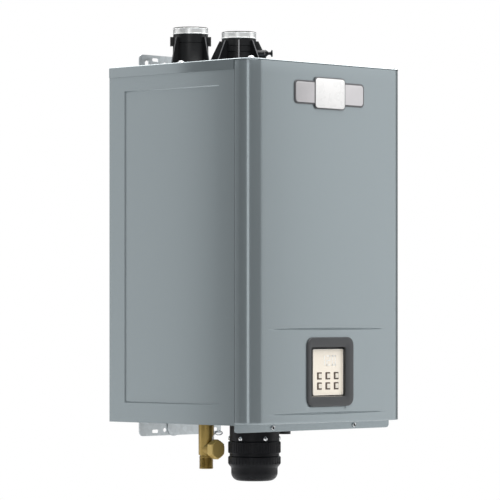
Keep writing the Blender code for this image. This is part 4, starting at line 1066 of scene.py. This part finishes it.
def hex_head(bm, flats, low, high, place, rounding=0.0016, steps=8):
    """A hexagon whose outer end is turned to a round chamfer, as such caps are."""
    outline = []
    for i in range(6):
        ax, ay = hexagon(flats)[i]
        bx, by = hexagon(flats)[(i + 1) % 6]
        outline += [(ax + (bx - ax) * s / steps, ay + (by - ay) * s / steps) for s in range(steps)]

    def clipped(limit):
        found = []
        for u, v in outline:
            reach = math.hypot(u, v)
            share = min(1, limit / reach)
            found.append((u * share, v * share))
        return found

    apothem = flats / 2
    loft(
        bm,
        [(clipped(apothem + 0.0008), low), (clipped(1), low + rounding * 0.4), (clipped(1), high - rounding),
         (clipped(apothem + 0.0006), high - rounding * 0.4), (clipped(apothem - 0.0009), high)],
        place=place,
    )


# Painted reflection: the cap gets a paler, less metallic copy of the tee's brass, so that its front face looks as
# bright as the softbox it mirrors
brass_with_painted_reflection = finish("brass_painted_reflection", (0.60, 0.43, 0.14), 0.42, metallic=0.20, grain=900, bump=0.05, tint=0.06)
cap_place = Matrix.Translation((inlet_x, -0.2238, branch_z)) @ Matrix.Rotation(math.radians(90), 4, "X")
hex_cap = bmesh.new()
hex_head(hex_cap, 0.034, 0.0, 0.0145, cap_place)
lathe(hex_cap, [(0, 0.001), (0.0082, 0.001), (0.0082, -0.012), (0, -0.012)], 32, cap_place)
made("strainer_hex_cap", hex_cap, brass_with_painted_reflection, "strainer_cap", ["inlet_strainer_cap"], angle=12)


def wire(name, points, radius, material, body, nodes=(), sides=6, closed=False):
    """A bent wire or pipe along smooth points."""
    curve = bpy.data.curves.new(name, "CURVE")
    curve.dimensions = "3D"
    curve.bevel_depth = radius
    curve.bevel_resolution = sides
    curve.use_fill_caps = True
    spline = curve.splines.new("POLY")
    spline.points.add(len(points) - 1)
    for point, spot in zip(spline.points, points):
        point.co = (*spot, 1)
    spline.use_cyclic_u = closed
    source = bpy.data.objects.new(name, curve)
    bpy.context.scene.collection.objects.link(source)
    graph = bpy.context.evaluated_depsgraph_get()
    graph.update()
    mesh = bpy.data.meshes.new_from_object(source.evaluated_get(graph))
    bpy.data.objects.remove(source)
    bm = bmesh.new()
    bm.from_mesh(mesh)
    bmesh.ops.remove_doubles(bm, verts=bm.verts, dist=0.00001)
    return made(name, bm, material, body, nodes)


# Wire clip on the tee's branch: a spring-steel loop that locks the strainer cap, on a short stem
spring_steel = finish(
    "spring_steel", (0.68, 0.69, 0.73), 0.22, metallic=1.0, grain=1500, bump=0.03, tint=0.06
)
loop_middle = Vector((-0.1394, -0.2350, -0.7393))
loop_across = Vector((0.6947, -0.7193, 0)) * 0.0072
loop_back = Vector((0.62, 0.60, 0.50)) * 0.0072
clip_points = [
    loop_middle + loop_across * math.sin(math.radians(a)) - loop_back * math.cos(math.radians(a))
    for a in range(-165, 166, 15)
]
clip_points += [(-0.1400, water_y - 0.0215, -0.7400), (inlet_x, water_y - 0.0180, -0.7480),
                (inlet_x, water_y - 0.0176, -0.7556)]
wire("strainer_clip", clip_points, 0.0011, spring_steel, "case", ["cap_clip"])

# Hot outlet and gas inlet: plain brass ends with pipe threads under the floor
hot_bm = bmesh.new()
threaded_end(hot_bm, [(0.0142, -0.71425), (0.0142, -0.7360), (0.0137, -0.7366)], 0.0138, 0.0100, 0.030, -0.7372, -0.76325,
             Matrix.Translation((-0.045, water_y, 0)))
made("hot_outlet", hot_bm, brass, "case", ["hot_outlet_fitting"])
gas_bm = bmesh.new()
threaded_end(gas_bm, [(0.0139, -0.66855), (0.0139, -0.7320)], 0.0139, 0.0100, 0.030, -0.7330, -0.75825,
             Matrix.Translation((0.004, water_y, 0)))
made("gas_nipple", gas_bm, brass, "case", ["gas_inlet"])

# Scale-filter cartridge: a black moulded head through the floor, a quarter-turn lock ring with grip ribs, and
# a canister with a second grip band and a rounded bowl
satin_black = finish(
    "satin_black_moulding", (0.0034, 0.0037, 0.0052), 0.42, grain=1300, bump=0.06, tint=0.2, spread=0.05,
    shine=0.2
)
cartridge_place = Matrix.Translation((-0.1045, -0.299, cover_low))
head_bm = bmesh.new()
lathe(
    head_bm,
    [(0, 0.014), (0.0295, 0.014), (0.030, 0.0135), (0.030, -0.0023), (0.0478, -0.0023), (0.0485, -0.0030),
     (0.0485, -0.0355), (0.0478, -0.0362), (0.0450, -0.0362), (0.0450, -0.0117), (0, -0.0117)],
    96,
    cartridge_place,
)
made("filter_head", head_bm, satin_black, "case", ["cartridge_head"])
ring_bm = bmesh.new()
lathe(
    ring_bm,
    [
        (0.0450, -0.0365), (0.0500, -0.0365), (0.0509, -0.0374), (0.0509, -0.0586), (0.0500, -0.0595),
        (0.0450, -0.0595)
    ],
    96,
    cartridge_place,
    ring=True,
)
made("lock_ring", ring_bm, satin_black, "lock_ring", ["cartridge_lock_ring"])


def grip_ribs(name, count, radius, low, high, body, half_width=0.0011, proud=0.0006):
    """Small upright grip ribs round a moulded band."""
    rib = bmesh.new()
    outline = [(-0.0008, -half_width), (proud * 0.4, -half_width), (proud, -half_width / 2), (proud, half_width / 2),
               (proud * 0.4, half_width), (-0.0008, half_width)]
    loft(rib, [(outline, low), (outline, high)])
    repeated(name, rib, ring_of, ring_sockets, {"Count": count, "Radius": radius}, cartridge_place, satin_black, body)


grip_ribs("lock_ring_ribs", 60, 0.0509, -0.0580, -0.0380, "lock_ring")
canister_bm = bmesh.new()
canister_profile = [
    (0, -0.1094), (
        0.0235, -0.1094
    ), (0.0330, -0.1065), (0.0385, -0.1010), (0.0395, -0.0974), (0.0395, -0.012),
    (0.0447, -0.012), (
        0.0447, -0.0598
    ), (0.0485, -0.0598), (0.0485, -0.0648), (0.0500, -0.0655), (0.0512, -0.0667),
    (0.0512, -0.0745), (0.0503, -0.0815), (0.0495, -0.0828), (0.0462, -0.0865), (0.0455, -0.0885),
]
canister_profile += [
    (0.0295 + 0.016 * math.cos(math.radians(a)), -0.0974 - 0.016 * math.sin(math.radians(a)))
    for a in range(0, 91, 9)
]
canister_profile += [(0.020, -0.1134), (0.0185, -0.1128), (0, -0.1128)]
lathe(canister_bm, canister_profile, 96, cartridge_place)
made("filter_canister", canister_bm, satin_black, "canister", ["cartridge_canister"])
grip_ribs("canister_ribs", 44, 0.0512, -0.0800, -0.0672, "canister", half_width=0.0013, proud=0.0003)

# Cartridge screws: six bright slotted oval heads round the head, three of them out of the photograph's sight
screw_bm = bmesh.new()
to_side = Matrix.Rotation(math.radians(90), 4, "Y")
lathe(
    screw_bm, [(0, 0.0024), (0.0018, 0.0023), (0.0033, 0.0017), (0.0043, 0.0007), (0.0044, 0.0), (0, 0.0)],
    28, to_side
)
screw_place = Matrix.Translation(
    (-0.1045, -0.299, cover_low - 0.0305)
) @ Matrix.Rotation(math.radians(10), 4, "Z")
repeated("cartridge_screws", screw_bm, ring_of, ring_sockets, {"Count": 6, "Radius": 0.0486}, screw_place, zinc, "case",
         ["cartridge_screw_left", "cartridge_screw_middle", "cartridge_screw_right"])
# Painted shade: a near-black bar set into each oval head, where its slot would lie in shadow
slot_bm = bmesh.new()
loft(slot_bm, [(rounded(-0.0036, -0.0005, 0.0036, 0.0005, 0.0003, 2), 0.0012), (rounded(-0.0036, -0.0005, 0.0036, 0.0005, 0.0003, 2), 0.00245)],
     place=to_side @ Matrix.Rotation(math.radians(35), 4, "Z"))
repeated("cartridge_screw_painted_slot_shade", slot_bm, ring_of, ring_sockets, {"Count": 6, "Radius": 0.0486}, screw_place, painted_shade_black,
         "case")

# Condensate trap and cable gland: black mouldings that end under the floor
for node in ("condensate_trap", "cable_gland"):
    coat_node(node, black)
nut_bm = bmesh.new()
hex_head(
    nut_bm, 0.0240, 0.0, 0.0085,
    Matrix.Translation(
        (0.125, water_y, -0.7345)
    ) @ Matrix.Rotation(math.radians(180), 4, "X") @ Matrix.Translation((0, 0, -0.0085))
)
made("gland_nut", nut_bm, black, "case")

# Inside, seen with the cover off. Exchangers: a copper block of thin fins over a stainless box, cast burner
# head on top
copper = finish("drawn_copper", (0.72, 0.36, 0.22), 0.30, metallic=1.0, grain=600, bump=0.06, tint=0.12)
cast = finish("cast_aluminium", (0.52, 0.53, 0.54), 0.48, metallic=1.0, grain=900, bump=0.35, tint=0.08)
brushed = finish(
    "brushed_stainless", (0.62, 0.62, 0.61), 0.30, metallic=1.0, grain=1500, bump=0.10, tint=0.06,
    stretch=(0.05, 1, 1)
)
coat_node("primary_heat_exchanger", copper)
coat_node("secondary_heat_exchanger", brushed)
coat_node("burner_head", cast)
fin_bm = bmesh.new()
fin_outline = [(-0.0003, -0.0022), (0.0003, -0.0022), (0.0003, 0.0), (-0.0003, 0.0)]
loft(fin_bm, [(fin_outline, 0.0), (fin_outline, 0.036)])
main_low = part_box("primary_heat_exchanger")[0]
for tier in range(4):
    start = Matrix.Translation(
        (main_low[0] + 0.008, main_low[1] + 0.0042, main_low[2] + 0.005 + tier * 0.04475)
    )
    fins = fin_bm.copy()
    repeated(f"exchanger_fins_{tier + 1}", fins, row_of, row_sockets, {"Count": 68, "Step": (0.003, 0, 0)}, start, copper,
             "case")
fin_bm.free()

# Fan: a cast scroll with lid screws, its impeller on a shaft, and a black motor below
for node in ("fan_housing", "gas_valve", "fan_impeller"):
    coat_node(node, cast)
for node in ("fan_motor", "intake_duct", "flow_sensor"):
    coat_node(node, black)
bolt_bm = bmesh.new()
lathe(bolt_bm, [(0, 0.0022), (0.0028, 0.0020), (0.0032, 0.0012), (0.0032, 0), (0, 0)], 20)
repeated("fan_lid_screws", bolt_bm, ring_of, ring_sockets, {"Count": 6, "Radius": 0.056},
         Matrix.Translation((-0.137, -0.265, -0.16425)), zinc, "case")

# Pipes, duct and igniter
coat_node("cold_pipe", copper)
coat_node("hot_pipe", copper)
duct_white = finish("white_plastic_pipe", (0.80, 0.80, 0.78), 0.35, grain=500, bump=0.04, tint=0.02)
for node in ("exhaust_duct", "igniter", "flow_turbine"):
    coat_node(node, duct_white)

# Control board: rows of capacitors and relays on the main board in its tray
tin = finish("capacitor_tin", (0.10, 0.12, 0.20), 0.35, grain=900, bump=0.05, tint=0.10)
board_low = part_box("control_board")[0]
can_bm = bmesh.new()
lathe(
    can_bm, [(0, 0.0), (0.0052, 0.0), (0.0052, -0.0110), (0.0046, -0.0120), (0, -0.0120)], 24,
    Matrix.Rotation(math.radians(90), 4, "Y")
)
repeated("board_capacitors", can_bm, row_of, row_sockets, {"Count": 7, "Step": (0, 0, 0.030)},
         Matrix.Translation((board_low[0], board_low[1] + 0.025, board_low[2] + 0.04)), tin, "case")
relay_bm = bmesh.new()
relay = rounded(-0.009, -0.007, 0.009, 0.007, 0.001, 2)
loft(relay_bm, [(relay, 0), (relay, -0.0105)], axis="X")
repeated("board_relays", relay_bm, row_of, row_sockets, {"Count": 5, "Step": (0, 0, 0.042)},
         Matrix.Translation((board_low[0], board_low[1] + 0.10, board_low[2] + 0.05)), black, "case")
